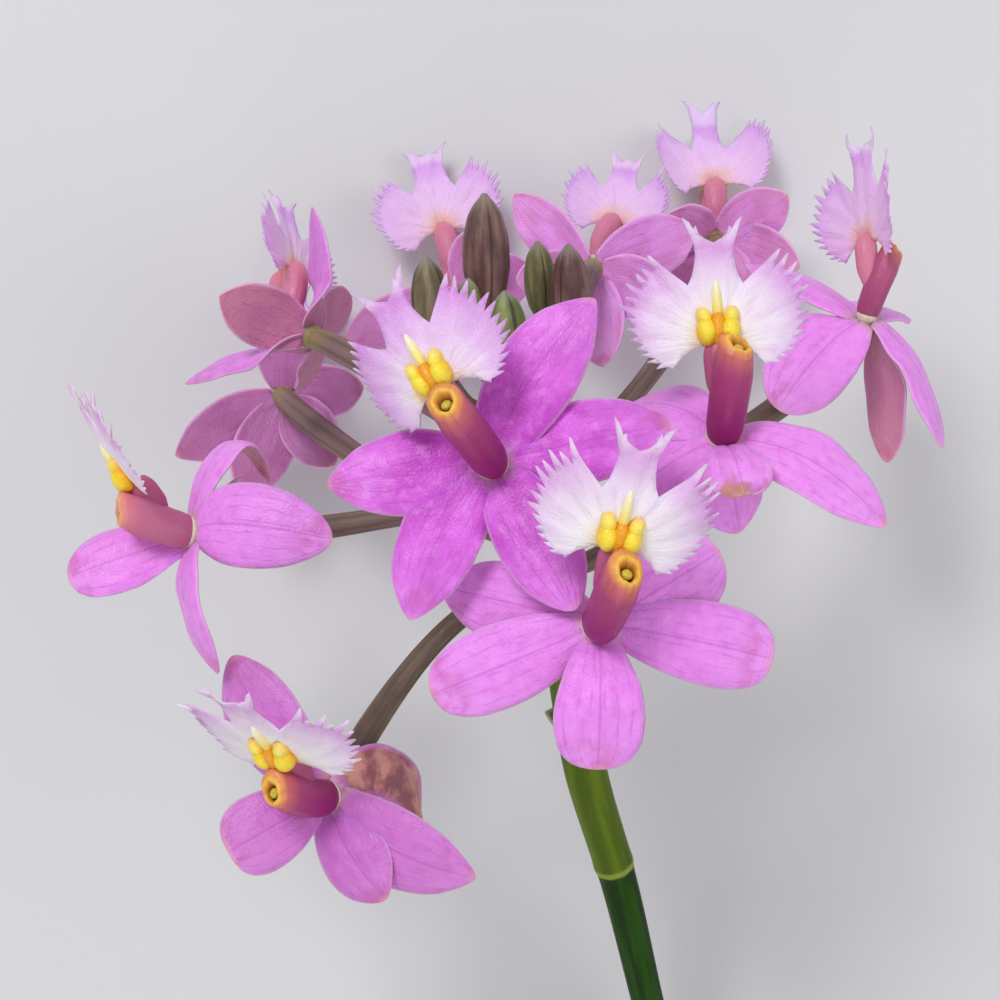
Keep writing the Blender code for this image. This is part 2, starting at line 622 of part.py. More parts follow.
def make_bud(bud):
    """A closed bud on its short stalk."""
    base = np.array(bud["base"])
    tip = np.array(bud["tip"])
    axis, direction, radius = stem_at(bud["root"])
    out = across(base - axis, direction)
    start = axis + (radius + GAP) * out
    pull = STALK_CURVE * np.linalg.norm(base - start)
    controls = (start, start + pull * out, base - pull * unit(tip - base), base)
    spots = [bezier(controls, s) for s in BUD_STALK_STATIONS]
    centres = [p for p, _ in spots]
    directions = [d for _, d in spots]
    radii = [BUD_STALK_RADIUS] * len(centres)
    for along, swell in BUD_PROFILE:
        centres.append(base + along * (tip - base))
        directions.append(unit(tip - base))
        radii.append(max(swell * bud["radius"], BUD_STALK_RADIUS * 0.6))
    centres.append(tip)
    directions.append(unit(tip - base))
    radii.append(BUD_TIP_RADIUS)
    return tube("bud_" + bud["name"], centres, directions, radii, BUD_SIDES, "bud")


def make_stem():
    """Peduncle and rachis in one, with the bract at the lowest node."""
    spots = [stem_at(i / STEM_RINGS) for i in range(STEM_RINGS + 1)]
    centres = [p for p, _, _ in spots]
    directions = [d for _, d, _ in spots]
    radii = [r for _, _, r in spots]
    stem = tube("stem", centres, directions, radii, STEM_SIDES, "stem", first=(0, 0, -1), low=FLOOR)
    axis, direction, radius = stem_at(BRACT["root"])
    out = across(np.array(BRACT["tip"]) - axis, direction)
    start = axis + 0.5 * radius * out
    holder = dict(at=start, facing=out)
    away = np.array(BRACT["tip"]) - start
    shape = tepal(away, BRACT["width"], bow=-0.2, blunt=0.0, cup=0.5, face=tuple(out))
    points, triangles = tepal_middle(holder, shape, 0.0, BRACT_ROWS, 2)
    return fuse(stem, [sheet("bract", points, triangles, "stem")])


def make_materials():
    for name, (colour, roughness) in COLOURS.items():
        material = bpy.data.materials.new(name)
        material.use_nodes = True
        shader = material.node_tree.nodes["Principled BSDF"]
        shader.inputs["Base Color"].default_value = (*colour, 1)
        shader.inputs["Roughness"].default_value = roughness
        shader.inputs["Metallic"].default_value = 0


def main():
    for old in list(bpy.data.objects):
        bpy.data.objects.remove(old)
    make_materials()
    make_stem()
    for bud in BUDS:
        make_bud(bud)
    for flower in FLOWERS:
        make_perianth(flower)
        make_column(flower)
        make_lip(flower)
        make_pedicel(flower)
    for made in bpy.context.scene.objects:
        made.data.shade_smooth()
        made.data.set_sharp_from_angle(angle=math.radians(SHARP_ANGLE))


main()
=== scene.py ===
"""Looks of an epidendrum orchid's flower head, which lies on its back on a pale floor.

Every tepal, lip, column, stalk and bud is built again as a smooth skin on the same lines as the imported
solids, and stands for them. Sizes and places are in millimetres from the middle of the head, and turned
into the model's metres when a mesh is made. Colours are in 0 to 255, as seen on a screen.
"""

import math
import random
from types import SimpleNamespace as Colours

import bpy
import numpy as np
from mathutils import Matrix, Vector
from mathutils.geometry import delaunay_2d_cdt


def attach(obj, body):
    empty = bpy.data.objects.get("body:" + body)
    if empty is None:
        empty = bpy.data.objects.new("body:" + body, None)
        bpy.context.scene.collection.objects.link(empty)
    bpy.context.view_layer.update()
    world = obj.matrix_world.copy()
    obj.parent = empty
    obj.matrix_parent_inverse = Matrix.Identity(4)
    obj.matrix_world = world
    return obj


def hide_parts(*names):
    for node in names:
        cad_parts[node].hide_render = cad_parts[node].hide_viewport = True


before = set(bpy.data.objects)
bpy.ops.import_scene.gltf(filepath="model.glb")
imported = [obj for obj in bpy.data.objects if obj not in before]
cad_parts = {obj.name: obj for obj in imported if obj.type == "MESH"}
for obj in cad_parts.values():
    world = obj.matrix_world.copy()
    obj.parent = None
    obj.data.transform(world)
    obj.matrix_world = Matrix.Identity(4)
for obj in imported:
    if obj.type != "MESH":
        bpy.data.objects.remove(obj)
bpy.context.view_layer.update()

MM = 0.001
# Where the middle of the head stands in the part's frame, whose origin is at the middle of the
# bottom of the whole.
HEAD = np.array((-1.83, 21.0, 37.6))
FLOOR = -HEAD[2]
GAP = 0.3
SHEET = 0.62
HUB_RADIUS = 1.9
HUB_FRONT = 0.8
HUB_BACK = 1.0
COLUMN_RISE = 0.3
TEPAL_START = 0.9
TEPAL_TURNED_BY = 0.45
TEPAL_MIDDLE = 0.45
TEPAL_BOW = 1.6
# Width along a tepal: its share at the foot, how it swells, and how a pointed and a round tip close.
TEPAL_FOOT = 0.16
TEPAL_SWELL = 0.85
TEPAL_POINTED = 0.8
TEPAL_ROUND = 0.32
# Height of each tepal's foot on the hub, set apart so that no two sheets share a face.
TEPAL_LEVELS = (-0.13, 0.117, -0.096, 0.151, -0.062)
COLUMN_BEND = 0.35
COLUMN_RADII = (1.55, 1.75, 1.8, 1.85, 1.9, 1.65)
PEDICEL_RADII = (0.95, 1.0, 1.05, 1.12, 1.25, 1.35, 1.35, 1.15)
PEDICEL_STRAIGHT = 8.0
STEM_LINE = (
    (24.6, -88.0, -36.0),
    (16.6, -56.3, -23.0),
    (12.9, -41.4, -15.0),
    (9.1, -28.8, -8.0),
    (6.0, -12.0, 0.0),
    (3.2, 2.0, 5.0),
    (1.0, 14.0, 10.5),
)
STEM_RADII = (1.75, 1.8, 2.0, 2.25, 2.0, 1.6, 1.1)
# The right half of a lip that lies flat, from the middle of its throat out and up to the notch
# between its two horns. The fringed edge of the side lobe is worked out between these two runs.
LIP_THROAT_EDGE = ((0.0, 0.0), (2.3, -0.3), (3.6, -1.1), (4.6, -2.3))
LIP_FRINGE_ANGLES = (112.0, 33.0)
LIP_FRINGE_RADII = (5.4, 6.8, 8.1, 8.9, 9.4, 9.5)
# Widths over which a lip's fold and arch are given in degrees, and where its arch sets in.
LIP_FOLD_OVER = 8.0
LIP_ARCH_OVER = 10.0
LIP_ARCH_FROM = 2.0
LIP_CLEAR = 0.3
CLAW_REACH = 0.55

FINE_TEPAL_ROWS = 34
FINE_TEPAL_COLUMNS = 14
# Sides of the plain round skins: hubs, stalks and claws.
TUBE_SIDES = 24
TEPAL_THICK = 0.5
TEPAL_EDGE_THICK = 0.16
# Where a fine tepal starts to narrow to its tip, and the share of its width that a pointed one keeps.
FINE_TIP_FROM = 0.82
FINE_TIP_SHARE = 0.72
# Ranges for the wave of each half of a tepal: its height, how many there are and its phase.
EDGE_WAVES = ((0.1, 0.3), (1.2, 2.4), (0, 6.3))
RIB_DEPTHS = (0.16, 0.26)
RIB_WIDTH = 0.13
RIPPLE_HEIGHT = 0.05
RIPPLE_RATE = 9.4
# How far apart the patterns of two petals are taken from, at most.
PATTERN_REACH = 90
# How far back from its tip a tepal has withered, by flower and tepal.
WITHERED = {("low_left", 4): 1.35, ("right", 1): 0.5}
WITHERED_LIFT = 0.35
# Shade of each flower's tepals, from deep magenta at 0 to pale. Seen from behind, from violet to salmon.
SHADES = {
    "left": 0.85, "low_left": 0.7, "centre": 0.1, "front": 0.8, "right": 0.85, "far_right": 0.9,
    "top_right": 0.3, "top": 0.0, "top_left": 0.3, "high_left": 0.9, "mid_left": 0.3,
}
SHADE_VARIES = 0.1
# Painted shade: how much darker and duller each of these flowers' tepals are painted than the rest.
PAINTED_SHADE = {"low_left": 0.33, "mid_left": 0.45, "high_left": 0.15}
# Rings of the hub: how far ahead of its middle each is, and its share of the radius.
HUB_RINGS = ((-1, 0.5), (-0.85, 0.62), (-0.5, 0.68), (0, 0.74), (0.5, 0.84), (0.8, 0.86), (0.9, 0.6))

FINE_TEETH = 13
FINE_TOOTH_LENGTHS = (0.9, 2.3)
TOOTH_VARIES = (0.55, 1.15)
TOOTH_LEANS = (0.42, 0.72)
TOOTH_GAP = 0.25
FINE_MIDDLE_LOBE = (
    (2.75, 5.9), (2.3, 6.8), (2.05, 7.8), (1.9, 8.8), (1.95, 9.7), (2.3, 10.7), (3.0, 12.6),
    (2.35, 12.0), (1.95, 11.3), (1.75, 11.7), (1.45, 10.9), (0.9, 10.5), (0.0, 10.0),
)
# The middle lobe of some lips seen from behind: how much longer and wider it is, and how far its notch
# is filled. The notch starts at a place along the lobe, and its horns end at another.
MIDDLE_LOBES = {
    "top_right": (1.28, 0.85, 0.5), "top_left": (1.0, 1.1, 0.6), "top": (1.08, 1.05, 0.5),
    "far_right": (1.05, 1.0, 0.2), "high_left": (1.0, 1.0, 0.3),
}
LOBE_FOOT = FINE_MIDDLE_LOBE[0][1]
LOBE_NOTCH = 9.8
LOBE_END = 12.6
# The grid of points inside a lip: how far it runs, its step, and how much closer its rows are.
LIP_ACROSS = (-11, 11)
LIP_UP = (-5, 16)
LIP_GRID = 0.55
LIP_ROW_SHARE = 0.87
LIP_RIM_CLEAR = 0.24
LIP_REACH = 10
LIP_THICK = 0.42
LIP_EDGE_THICK = 0.14
# The pleats, waves and frills of a lip: how many would go all round it, and how high they stand.
LIP_FOLDS = ((17, 0.1), (5, 0.3), (31, 0.5))
LIP_KEEL_WIDTH = 0.42
LIP_KEEL_HEIGHT = 0.2
# How lilac each front lip is, from white at 0.
LILAC = {"low_left": 0.0, "left": 0.1, "centre": 0.85, "front": 0.15, "right": 0.25}
LILAC_BACK = 0.75
# Bulbs of the callus: middle and radii on the flat lip, lean, and how pale it is.
CALLUS = (
    ((1.15, 1.2, 0.5), (1.05, 1.45, 1.25), 0.2, 0.0),
    ((-1.15, 1.2, 0.5), (1.05, 1.45, 1.25), -0.2, 0.0),
    ((1.35, 2.6, 0.3), (0.8, 1.1, 0.95), 0.3, 0.3),
    ((-1.35, 2.6, 0.3), (0.8, 1.1, 0.95), -0.3, 0.3),
    ((0.0, 1.3, 0.35), (0.85, 1.9, 1.2), 0.0, -0.6),
    ((0.0, 3.8, 0.1), (0.55, 2.6, 0.8), 0.0, 1.0),
)
CALLUS_LOW = 0.1
BULB_SIDES = 22
BULB_RINGS = 15

COLUMN_RINGS = 22
COLUMN_SIDES = 28
COLUMN_OVAL = 0.035
COLUMN_UNEVEN = 0.02
COLUMN_SUNK = 0.6
# The column's end, which slants away from the lip: how far ahead of the tip and off to the side each
# ring is, its share of the radius, and its place in the column's colours.
COLUMN_END = (
    (0.22, 0.0, 0.97, 0.87), (0.42, 0.1, 0.88, 0.885), (0.52, 0.3, 0.78, 0.9), (0.68, 0.38, 0.7, 0.915),
    (0.76, 0.42, 0.61, 0.93), (0.68, 0.42, 0.5, 0.945), (0.36, 0.42, 0.4, 0.965), (-0.2, 0.4, 0.33, 0.985),
    (-0.9, 0.35, 0.22, 1.0),
)
COLUMN_END_FROM = 0.86
COLUMN_SLANT = 0.5
SLANTED_RINGS = 7
MOUTH_LOBES = 0.07
# Half the length and the radius of the anther cap.
CAP_SIZE = (0.4, 0.52)
CAP_SIDES = 16
PALE_COLUMNS = {"left": 0.55, "far_right": 0.25}
PALE_BEHIND = 0.8
# A flower whose facing rises less than this shows its back.
AWAY = 0.5
CLAW_RINGS = 12
# Places along the claw, and its radius at each.
CLAW_SWELLS = ((0, 0.6), (0.3, 1.25), (0.7, 1.4), (0.9, 1.15), (1, 0.6))

# A stalk starts at this share of the stem's radius, and ends at this share of the hub's depth.
STALK_SUNK = 0.6
STALK_RINGS = 44
STALK_RIBS = 6
STALK_RIB_HEIGHT = 0.055
# How far the ribs turn along a stalk.
STALK_TWIST = 0.5
FINE_BUD_SWELLS = (0.45, 0.8, 1.0, 0.98, 0.72, 0.33, 0.03)
BUD_STALK_RINGS = 14
BUD_RINGS = 30
BUD_SIDES = 36
BUD_SEAMS = 3
BUD_SEAM_DEPTH = 0.1
BUD_SEAM_WIDTH = 0.16
# Buds and stalks that are greener, or lighter, than the rest.
GREEN_BUDS = {"green_top": 1.0, "green_low": 0.9, "small": 0.7, "left": 0.35, "right_back": 0.5}
LIGHT_STALKS = {"low_left": 0.0, "high_left": 1.0, "mid_left": 0.8}
STEM_RINGS = 150
STEM_SIDES = 40
STEM_GROOVES = 9
STEM_GROOVE_DEPTH = 0.012
# Where the node ring is along the stem's line. The sheath runs on from it.
STEM_NODE = 0.477
NODE_WIDTH = 0.005
NODE_HEIGHT = 0.09
SHEATH_HEIGHT = 0.05
SHEATH_LENGTH = 0.05
# How much thicker the bract is along its middle than at its edge.
BRACT_THICKER = 0.3

CAMERA_HEIGHT = 220.0
CAMERA_HALF_WIDTH = 51.0
SENSOR = 36.0
FLOOR_REACH = 3.0
FLOOR_COLOUR = (0.7, 0.7, 0.71, 1)
SKY_COLOUR = (0.95, 0.96, 1.0, 1)
SKY_STRENGTH = 0.5
# Each soft light: where it stands from the middle of the head, in metres, its size and its power.
LIGHTS = (
    ("key", (-0.3, 0.5, 0.75), 0.35, 4.1),
    ("fill", (0.55, -0.1, 0.6), 0.6, 1.2),
    ("low", (-0.1, -0.7, 0.35), 0.5, 1.0),
)

PETAL = Colours(
    deep=(198, 58, 200), bright=(232, 104, 236), pale=(250, 156, 252), towards_tip=(242, 172, 252),
    dark_patch=(196, 70, 196), light_patch=(250, 178, 252), vein=(170, 44, 168), rib=(176, 48, 174),
    violet_back=(236, 154, 240), salmon_back=(210, 130, 158), dark_back=(194, 104, 164),
    back_vein=(150, 66, 118), violet_tip=(242, 168, 232), salmon_tip=(240, 164, 180), blush=(204, 92, 158),
    # The next row starts with the shadowed mauve of painted shade.
    dusk=(140, 70, 120), edge=(246, 196, 238), base=(214, 170, 176), hub_back=(150, 140, 84),
    hub_front=(226, 208, 186), dark_husk=(140, 78, 88), light_husk=(196, 136, 124), tip=(240, 176, 178),
    # Painted glint: the pale pink of light caught on the petal's cells.
    sparkle=(255, 205, 252),
)
LIP = Colours(
    # The next row ends in a painted glint, the near-white of light caught on the lip.
    plain_back=(246, 226, 240), vein=(222, 160, 226), rim=(252, 238, 252), sparkle=(255, 250, 255),
    white=((0.0, (255, 226, 90)), (0.2, (255, 240, 190)), (0.36, (253, 250, 252)), (0.72, (242, 220, 244)),
           (1.0, (222, 168, 226))),
    lilac=((0.0, (255, 226, 90)), (0.2, (255, 236, 190)), (0.34, (248, 226, 246)), (0.6, (230, 180, 238)),
           (1.0, (214, 138, 224))),
    back=((0.0, (240, 164, 128)), (0.2, (248, 200, 208)), (0.36, (244, 204, 244)), (0.75, (236, 190, 246)),
          (1.0, (220, 160, 238))),
)
CALLUS_TINTS = Colours(
    # The bulb ramp runs up each bulb: deeper orange low on its sides as painted shade, paler yellow on its
    # top as painted highlight.
    bulb=((0.3, (244, 148, 0)), (0.6, (255, 202, 0)), (0.95, (255, 232, 60))),
    ridge=((0.0, (255, 250, 226)), (0.5, (255, 236, 140)), (1.0, (252, 186, 20))), fold=(244, 140, 0),
)
# The column's colours from foot to mouth. The last stops, deep in the mouth, darken from orange to
# green-brown as painted shade.
COLUMN = Colours(
    length=((0.0, (222, 200, 176)), (0.04, (132, 18, 84)), (0.35, (148, 32, 106)), (0.72, (170, 64, 116)),
            (0.85, (204, 106, 104)), (0.9, (238, 162, 84)), (0.925, (250, 200, 80)), (0.95, (222, 150, 50)),
            (0.975, (150, 92, 30)), (1.0, (84, 62, 16))),
    streak=(150, 30, 96), pale=(230, 146, 170), green_cap=(190, 180, 56), yellow_cap=(240, 204, 84),
)
STALK = Colours(
    dark=(84, 66, 56), light=(122, 100, 82), mauve=(154, 120, 122), groove=(76, 62, 44),
    ovary=(166, 148, 92), root=(112, 122, 62),
)
BUD = Colours(
    dark_brown=(90, 58, 56), light_brown=(140, 104, 94), dark_green=(92, 110, 48),
    light_green=(146, 160, 88), seam=(44, 26, 26), tip=(158, 150, 140),
)
STEM = Colours(
    dark_low=(20, 50, 0), light_low=(38, 78, 2), dark_high=(78, 98, 12), light_high=(104, 126, 26),
    top=(108, 94, 66), node=(160, 174, 74), bract=(116, 132, 72), bract_tip=(168, 174, 140),
)


def tepal(tip, width, bow=1.2, via=(), blunt=0.5, cup=0.12, sway=(0.0, 0.0), face=None):
    """A tepal from the hub to its tip.

    Bow lifts its middle towards where the flower faces, and sway moves its middle along X and Y.
    Via are the control points of one that curls over instead.
    """
    return dict(tip=tip, width=width, bow=bow, via=via, blunt=blunt, cup=cup, sway=sway, face=face)


FLOWERS = (
    dict(
        name="left", at=(-30.2, -3.2, 8), facing=(-0.8, 0.15, 0.58), column=(-6.3, 2.1, 2.5),
        lip_up=(-0.6, 0.78, -0.1), lip_face=(-0.78, -0.6, 0.15), fold=12, arch=14, scale=0.95,
        root=0.87, leave=(-9, -1, 1),
        tepals=(
            tepal((-12.6, -4.5, -2), 6.6, bow=0.3, blunt=0.85, face=(-0.3, 0.2, 0.93)),
            tepal((14, -0.6, 4), 8.3, bow=3, blunt=0.6, sway=(0, 0.9), face=(-0.35, 0.1, 0.93)),
            tepal((2.9, -13.6, 3), 6, bow=2, sway=(-0.6, 0), face=(-0.88, -0.15, 0.45)),
            tepal((7, 5, -5), 6, via=((0.5, 6.5, -1), (4.5, 13.5, -3))),
            tepal((3, 5, -12), 6.5, bow=0),
        ),
    ),
    dict(
        name="low_left", at=(-16.6, -28.4, 12), facing=(-0.3, -0.1, 0.95), column=(-4.3, 1.5, 7.2),
        lip_up=(-0.35, 0.62, 0.7), lip_face=(-0.32, -0.74, 0.5), fold=15, arch=-12, scale=0.98,
        beside=(-0.1, 1, 0), root=0.775, leave=(-9, 3, -1), arrive=(2.2, 3.4, -8.2),
        tepals=(
            tepal((-9.6, 13.1, -3), 8, sway=(-0.8, -0.4)),
            tepal((-9.1, -4.9, 3.8), 7.6, bow=0.4, blunt=1),
            tepal((5.9, -9.3, 4), 7.4, bow=0.5, sway=(-0.8, -0.3)),
            tepal((14.3, -7.3, 4), 7.8, bow=2, blunt=0.3, sway=(-0.3, -1)),
            tepal((8.5, -4.3, -6), 5.4, via=((3.5, 3, 0), (8.2, 3.8, -2.5))),
        ),
    ),
    dict(
        name="centre", at=(-0.7, 3.3, 30), facing=(-0.12, 0.12, 0.98), column=(-3.9, 4.9, 7.6),
        lip_up=(-0.55, 0.83, 0.05), lip_face=(-0.3, -0.2, 0.93), fold=40, arch=12, scale=0.87,
        root=0.885, leave=(-1, 0, 6),
        tepals=(
            tepal((9.1, 14.5, -1), 7.8, blunt=0.3, sway=(-0.9, 0.5)),
            tepal((15.8, 3.4, -1.5), 7.4),
            tepal((7.15, -12.75, 4.7), 7.2, blunt=0.5, sway=(0, 0.3)),
            tepal((-7.2, -13.8, 0.5), 7.4, blunt=0.35, sway=(-1, 0.4)),
            tepal((-14.6, -1.9, -1), 7.6, blunt=0.3),
        ),
    ),
    dict(
        name="front", at=(8.6, -10.8, 33), facing=(0.03, 0.05, 1), column=(1.8, 4.9, 8.2),
        lip_up=(0.2, 0.86, 0.42), lip_face=(0, -0.42, 0.9), fold=25, arch=10, scale=0.88,
        root=0.745, leave=(0.5, 0, 6),
        tepals=(
            tepal((10.8, 6.2, -4), 8.2, blunt=0.9),
            tepal((15.4, -3.2, -3), 7.4, blunt=1, sway=(0, 0.3)),
            tepal((-0.2, -12.4, 1), 7.9, bow=3, blunt=1),
            tepal((-14.6, -6.3, -3), 7.4, blunt=0.9),
            tepal((-13.8, 3, -7), 7.4),
        ),
    ),
    dict(
        name="right", at=(20.6, 5.8, 20), facing=(0.02, 0.5, 0.86), column=(0.75, 8, 4.6),
        lip_up=(-0.05, 1, 0), lip_face=(0, 0, 1), fold=17, arch=5, scale=0.93,
        beside=(-0.45, 0.35, -0.85), root=0.80, leave=(5, 0, 4), arrive=(-1, -3.2, -7.5),
        tepals=(
            tepal((15, -8.2, 1), 6.9, bow=2.5, blunt=0.4, sway=(0.4, 1)),
            tepal((1.4, -5.4, 6.3), 6.2, bow=1.6, blunt=1),
            tepal((2.2, -8.9, -6), 7.4, bow=0.5),
            tepal((-9.5, -6, -1), 7.8),
            tepal((-8, 3.4, -8), 7, bow=2.5),
        ),
    ),
    dict(
        name="far_right", at=(38.2, 18.8, -5), facing=(0.15, 0.85, 0.4), column=(2.6, 7, 1.2),
        lip_up=(-0.06, 1, 0.02), lip_face=(0.93, 0, -0.36), fold=25, arch=0, scale=0.88,
        beside=(-0.9, 0.3, -0.2), stout=0.72, root=0.845, leave=(8, 0, -2), arrive=(-2, -5.2, -3.8),
        tepals=(
            tepal((-10, -9.6, 6), 8.8, bow=1, blunt=0.7, sway=(-0.5, 0.4), face=(0.2, 0.2, 0.95)),
            tepal((7.8, -13.4, 1), 6.4, bow=1, sway=(1.2, 0.6), face=(0.8, 0.3, 0.5)),
            tepal((3, -14.8, -5), 5.6, bow=0, sway=(1.2, 0), face=(0.75, 0.2, -0.6)),
            tepal((4.4, 1.8, -12), 7, bow=1),
            tepal((-11.7, 6.6, -7), 6.8, bow=1, face=(0.4, 0.75, 0.5)),
        ),
    ),
    dict(
        name="top_right", at=(25, 30, -29.9), facing=(0.1, 0.3, -0.95), column=(0.3, 5.8, -6),
        lip_up=(-0.1, 0.82, -0.58), lip_face=(0, -0.5, -0.8), fold=55, arch=0, scale=0.9,
        beside=(0, 0.5, 0.85), root=0.90, leave=(8.5, 0, -6), arrive=(0.3, -3.6, 5),
        tepals=(
            tepal((7.6, 4.6, 5), 6.4, bow=0.5),
            tepal((9, -3.5, 5), 6.6),
            tepal((1.5, -9.6, 5), 7),
            tepal((-7.5, -6, 3), 7),
            tepal((-6.2, 2.2, 5.5), 6, bow=0.2),
        ),
    ),
    dict(
        name="top", at=(10.2, 25.6, -20), facing=(0.15, 0.25, -0.95), column=(4.3, 3.7, -7.2),
        lip_up=(0.2, 0.9, -0.4), lip_face=(0.1, -0.42, -0.9), fold=42, arch=0, scale=0.74,
        root=0.95, leave=(2, 3, -5),
        tepals=(
            tepal((-8.6, 9, -4), 5.8, blunt=0.3, sway=(-0.4, -0.4)),
            tepal((11.7, 4.7, -3), 7.2),
            tepal((9, -4.4, 4.5), 7),
            tepal((1, -11, 4.5), 6),
            tepal((-8.4, -1.4, 2), 5.6),
        ),
    ),
    dict(
        name="top_left", at=(-4.2, 23.4, -27), facing=(-0.1, 0.3, -0.94), column=(-1.6, 6.9, -7.4),
        lip_up=(-0.24, 0.94, -0.24), lip_face=(0.05, -0.24, -0.97), fold=20, arch=0, scale=0.85,
        root=0.93, leave=(-2, 1, -6),
        tepals=(
            tepal((-13.4, -5, 1), 6.4),
            tepal((8, 3, -3), 6.6),
            tepal((7.5, -8, 3), 6.6),
            tepal((-3, -11.5, 4), 6.6),
            tepal((2.6, 7.5, 4), 6),
        ),
    ),
    dict(
        name="high_left", at=(-19.8, 17.1, -5), facing=(-0.75, 0.3, -0.55), column=(-3.4, 5.8, -5.6),
        lip_up=(-0.16, 0.9, -0.4), lip_face=(-0.85, -0.2, -0.45), fold=15, arch=0, scale=0.74,
        beside=(0.5, 0.6, 0.6), root=0.915, leave=(-7, 2, 0),
        tepals=(
            tepal((-8.8, 3.7, 5), 6.6, bow=0.5, blunt=0.3, face=(-0.3, 0.3, -0.9)),
            tepal((0.4, 13.2, 2), 6.6, bow=0.2, blunt=0.2, sway=(0.8, 0), face=(-0.9, 0, 0.42)),
            tepal((-13, -5, 0), 5.6, blunt=0.2, face=(-0.3, 0.85, 0.42)),
            tepal((3.6, 4.4, -11), 6.4),
            tepal((-1, -4, -12.5), 6.4, bow=0.5),
        ),
    ),
    dict(
        name="mid_left", at=(-24.9, 11.9, -28.3), facing=(-0.05, 0.15, -0.99), column=(0.2, 4.8, -7.6),
        lip_up=(0, 0.76, -0.65), lip_face=(0, -0.65, -0.76), fold=60, arch=0, scale=0.8,
        beside=(0, 0.6, 0.7), root=0.825, leave=(-7, 0, -3),
        tepals=(
            tepal((-12, -6.9, 3), 6.6, blunt=0.3),
            tepal((-4, -11.6, 4.5), 7),
            tepal((6.3, -8, 6), 6.6),
            tepal((9.4, 0.9, 4), 6.2),
            tepal((0.5, 10, 1.5), 6.6, bow=-0.3),
        ),
    ),
)

# Each bud: where its stalk leaves the stem, its base and its tip, and its greatest radius.
BUDS = (
    dict(name="tall", root=0.965, base=(-1.2, 18.6, 12), tip=(-1.5, 29.3, 14), radius=2.3),
    dict(name="left", root=0.955, base=(-6.2, 15, 15), tip=(-7, 23, 16.5), radius=1.85),
    dict(name="green_top", root=1, base=(-2.8, 15.8, 16.2), tip=(-3, 20.8, 17.8), radius=1.3),
    dict(name="green_low", root=0.982, base=(1, 13.4, 18.2), tip=(0.4, 19.4, 20), radius=1.75),
    dict(name="right_back", root=0.975, base=(4.2, 18, 9), tip=(3.6, 25.1, 11), radius=1.6),
    dict(name="right", root=0.96, base=(7, 15.8, 12.5), tip=(6.5, 24.4, 14.5), radius=1.95),
    dict(name="small", root=0.94, base=(-5, 12, 8.5), tip=(-8, 17, 10), radius=1.1),
)
BUD_STALK_RADIUS = 0.7
BUD_PROFILE = ((0, 0.45), (0.12, 0.8), (0.35, 1), (0.6, 0.95), (0.82, 0.62), (0.95, 0.28))
# The one large bract, which sheathes the stem below the lowest stalk.
BRACT = dict(root=0.625, tip=(4.9, -22.2, -5.5), width=3.4)


def unit(vector):
    return np.asarray(vector, float) / np.linalg.norm(vector)


def across(vector, axis):
    """The part of a vector that stands square to an axis, at length one."""
    return unit(vector - np.dot(vector, axis) * axis)


def distances(points):
    """How far along a line each of its points is."""
    return np.concatenate([[0.0], np.cumsum(np.linalg.norm(np.diff(points, axis=0), axis=1))])


def spread_over(s, values):
    """The value at s, where the values stand evenly from 0 to 1."""
    return np.interp(s, np.linspace(0, 1, len(values)), values)


def bezier(controls, s):
    """Point and direction at s along the Bezier curve through its control points."""
    points = np.array(controls, float)
    while len(points) > 2:
        points = points[:-1] + (points[1:] - points[:-1]) * s
    return points[0] + (points[1] - points[0]) * s, unit(points[1] - points[0])


def smooth_line(points, radii, s):
    """Point, direction and radius at s along a Catmull-Rom curve. Its knots stand at their true spacing."""
    points = np.array(points, float)
    knots = distances(points)
    knots /= knots[-1]
    slopes = np.gradient(points, knots, axis=0)
    i = min(int(np.searchsorted(knots, s, side="right")) - 1, len(points) - 2)
    width = knots[i + 1] - knots[i]
    t = (s - knots[i]) / width
    a, b = points[i], points[i + 1]
    m, n = slopes[i] * width, slopes[i + 1] * width
    at = (2 * t**3 - 3 * t**2 + 1) * a + (3 * t**2 - 2 * t**3) * b
    at += (t**3 - 2 * t**2 + t) * m + (t**3 - t**2) * n
    along = (6 * t**2 - 6 * t) * (a - b) + (3 * t**2 - 4 * t + 1) * m + (3 * t**2 - 2 * t) * n
    return at, unit(along), float(np.interp(s, knots, radii))


def carried(directions, first):
    """A side direction for each point of a line, carried along it without twist."""
    sides = [across(np.asarray(first, float), directions[0])]
    for direction in directions[1:]:
        sides.append(across(sides[-1], direction))
    return sides


def column_path(flower):
    """Points and directions along a column, from just off the hub to its mouth."""
    at = np.array(flower["at"])
    facing = unit(flower["facing"])
    start = at + (HUB_FRONT + GAP + COLUMN_RISE) * facing
    tip = at + np.array(flower["column"])
    bend = start + COLUMN_BEND * np.linalg.norm(tip - start) * facing
    return [bezier((start, bend, tip), i / (len(COLUMN_RADII) - 1)) for i in range(len(COLUMN_RADII))]


def lip_frame(flower):
    """The lip's throat, its own right, up and forward directions, and the way to it from the column."""
    tip, out = column_path(flower)[-1]
    up = unit(flower["lip_up"])
    forward = across(np.array(flower["lip_face"], float), up)
    right = np.cross(up, forward)
    beside = across(np.array(flower.get("beside", up), float), out)
    throat = tip + (max(COLUMN_RADII) + GAP + SHEET / 2 + LIP_CLEAR) * beside
    return throat, right, up, forward, beside


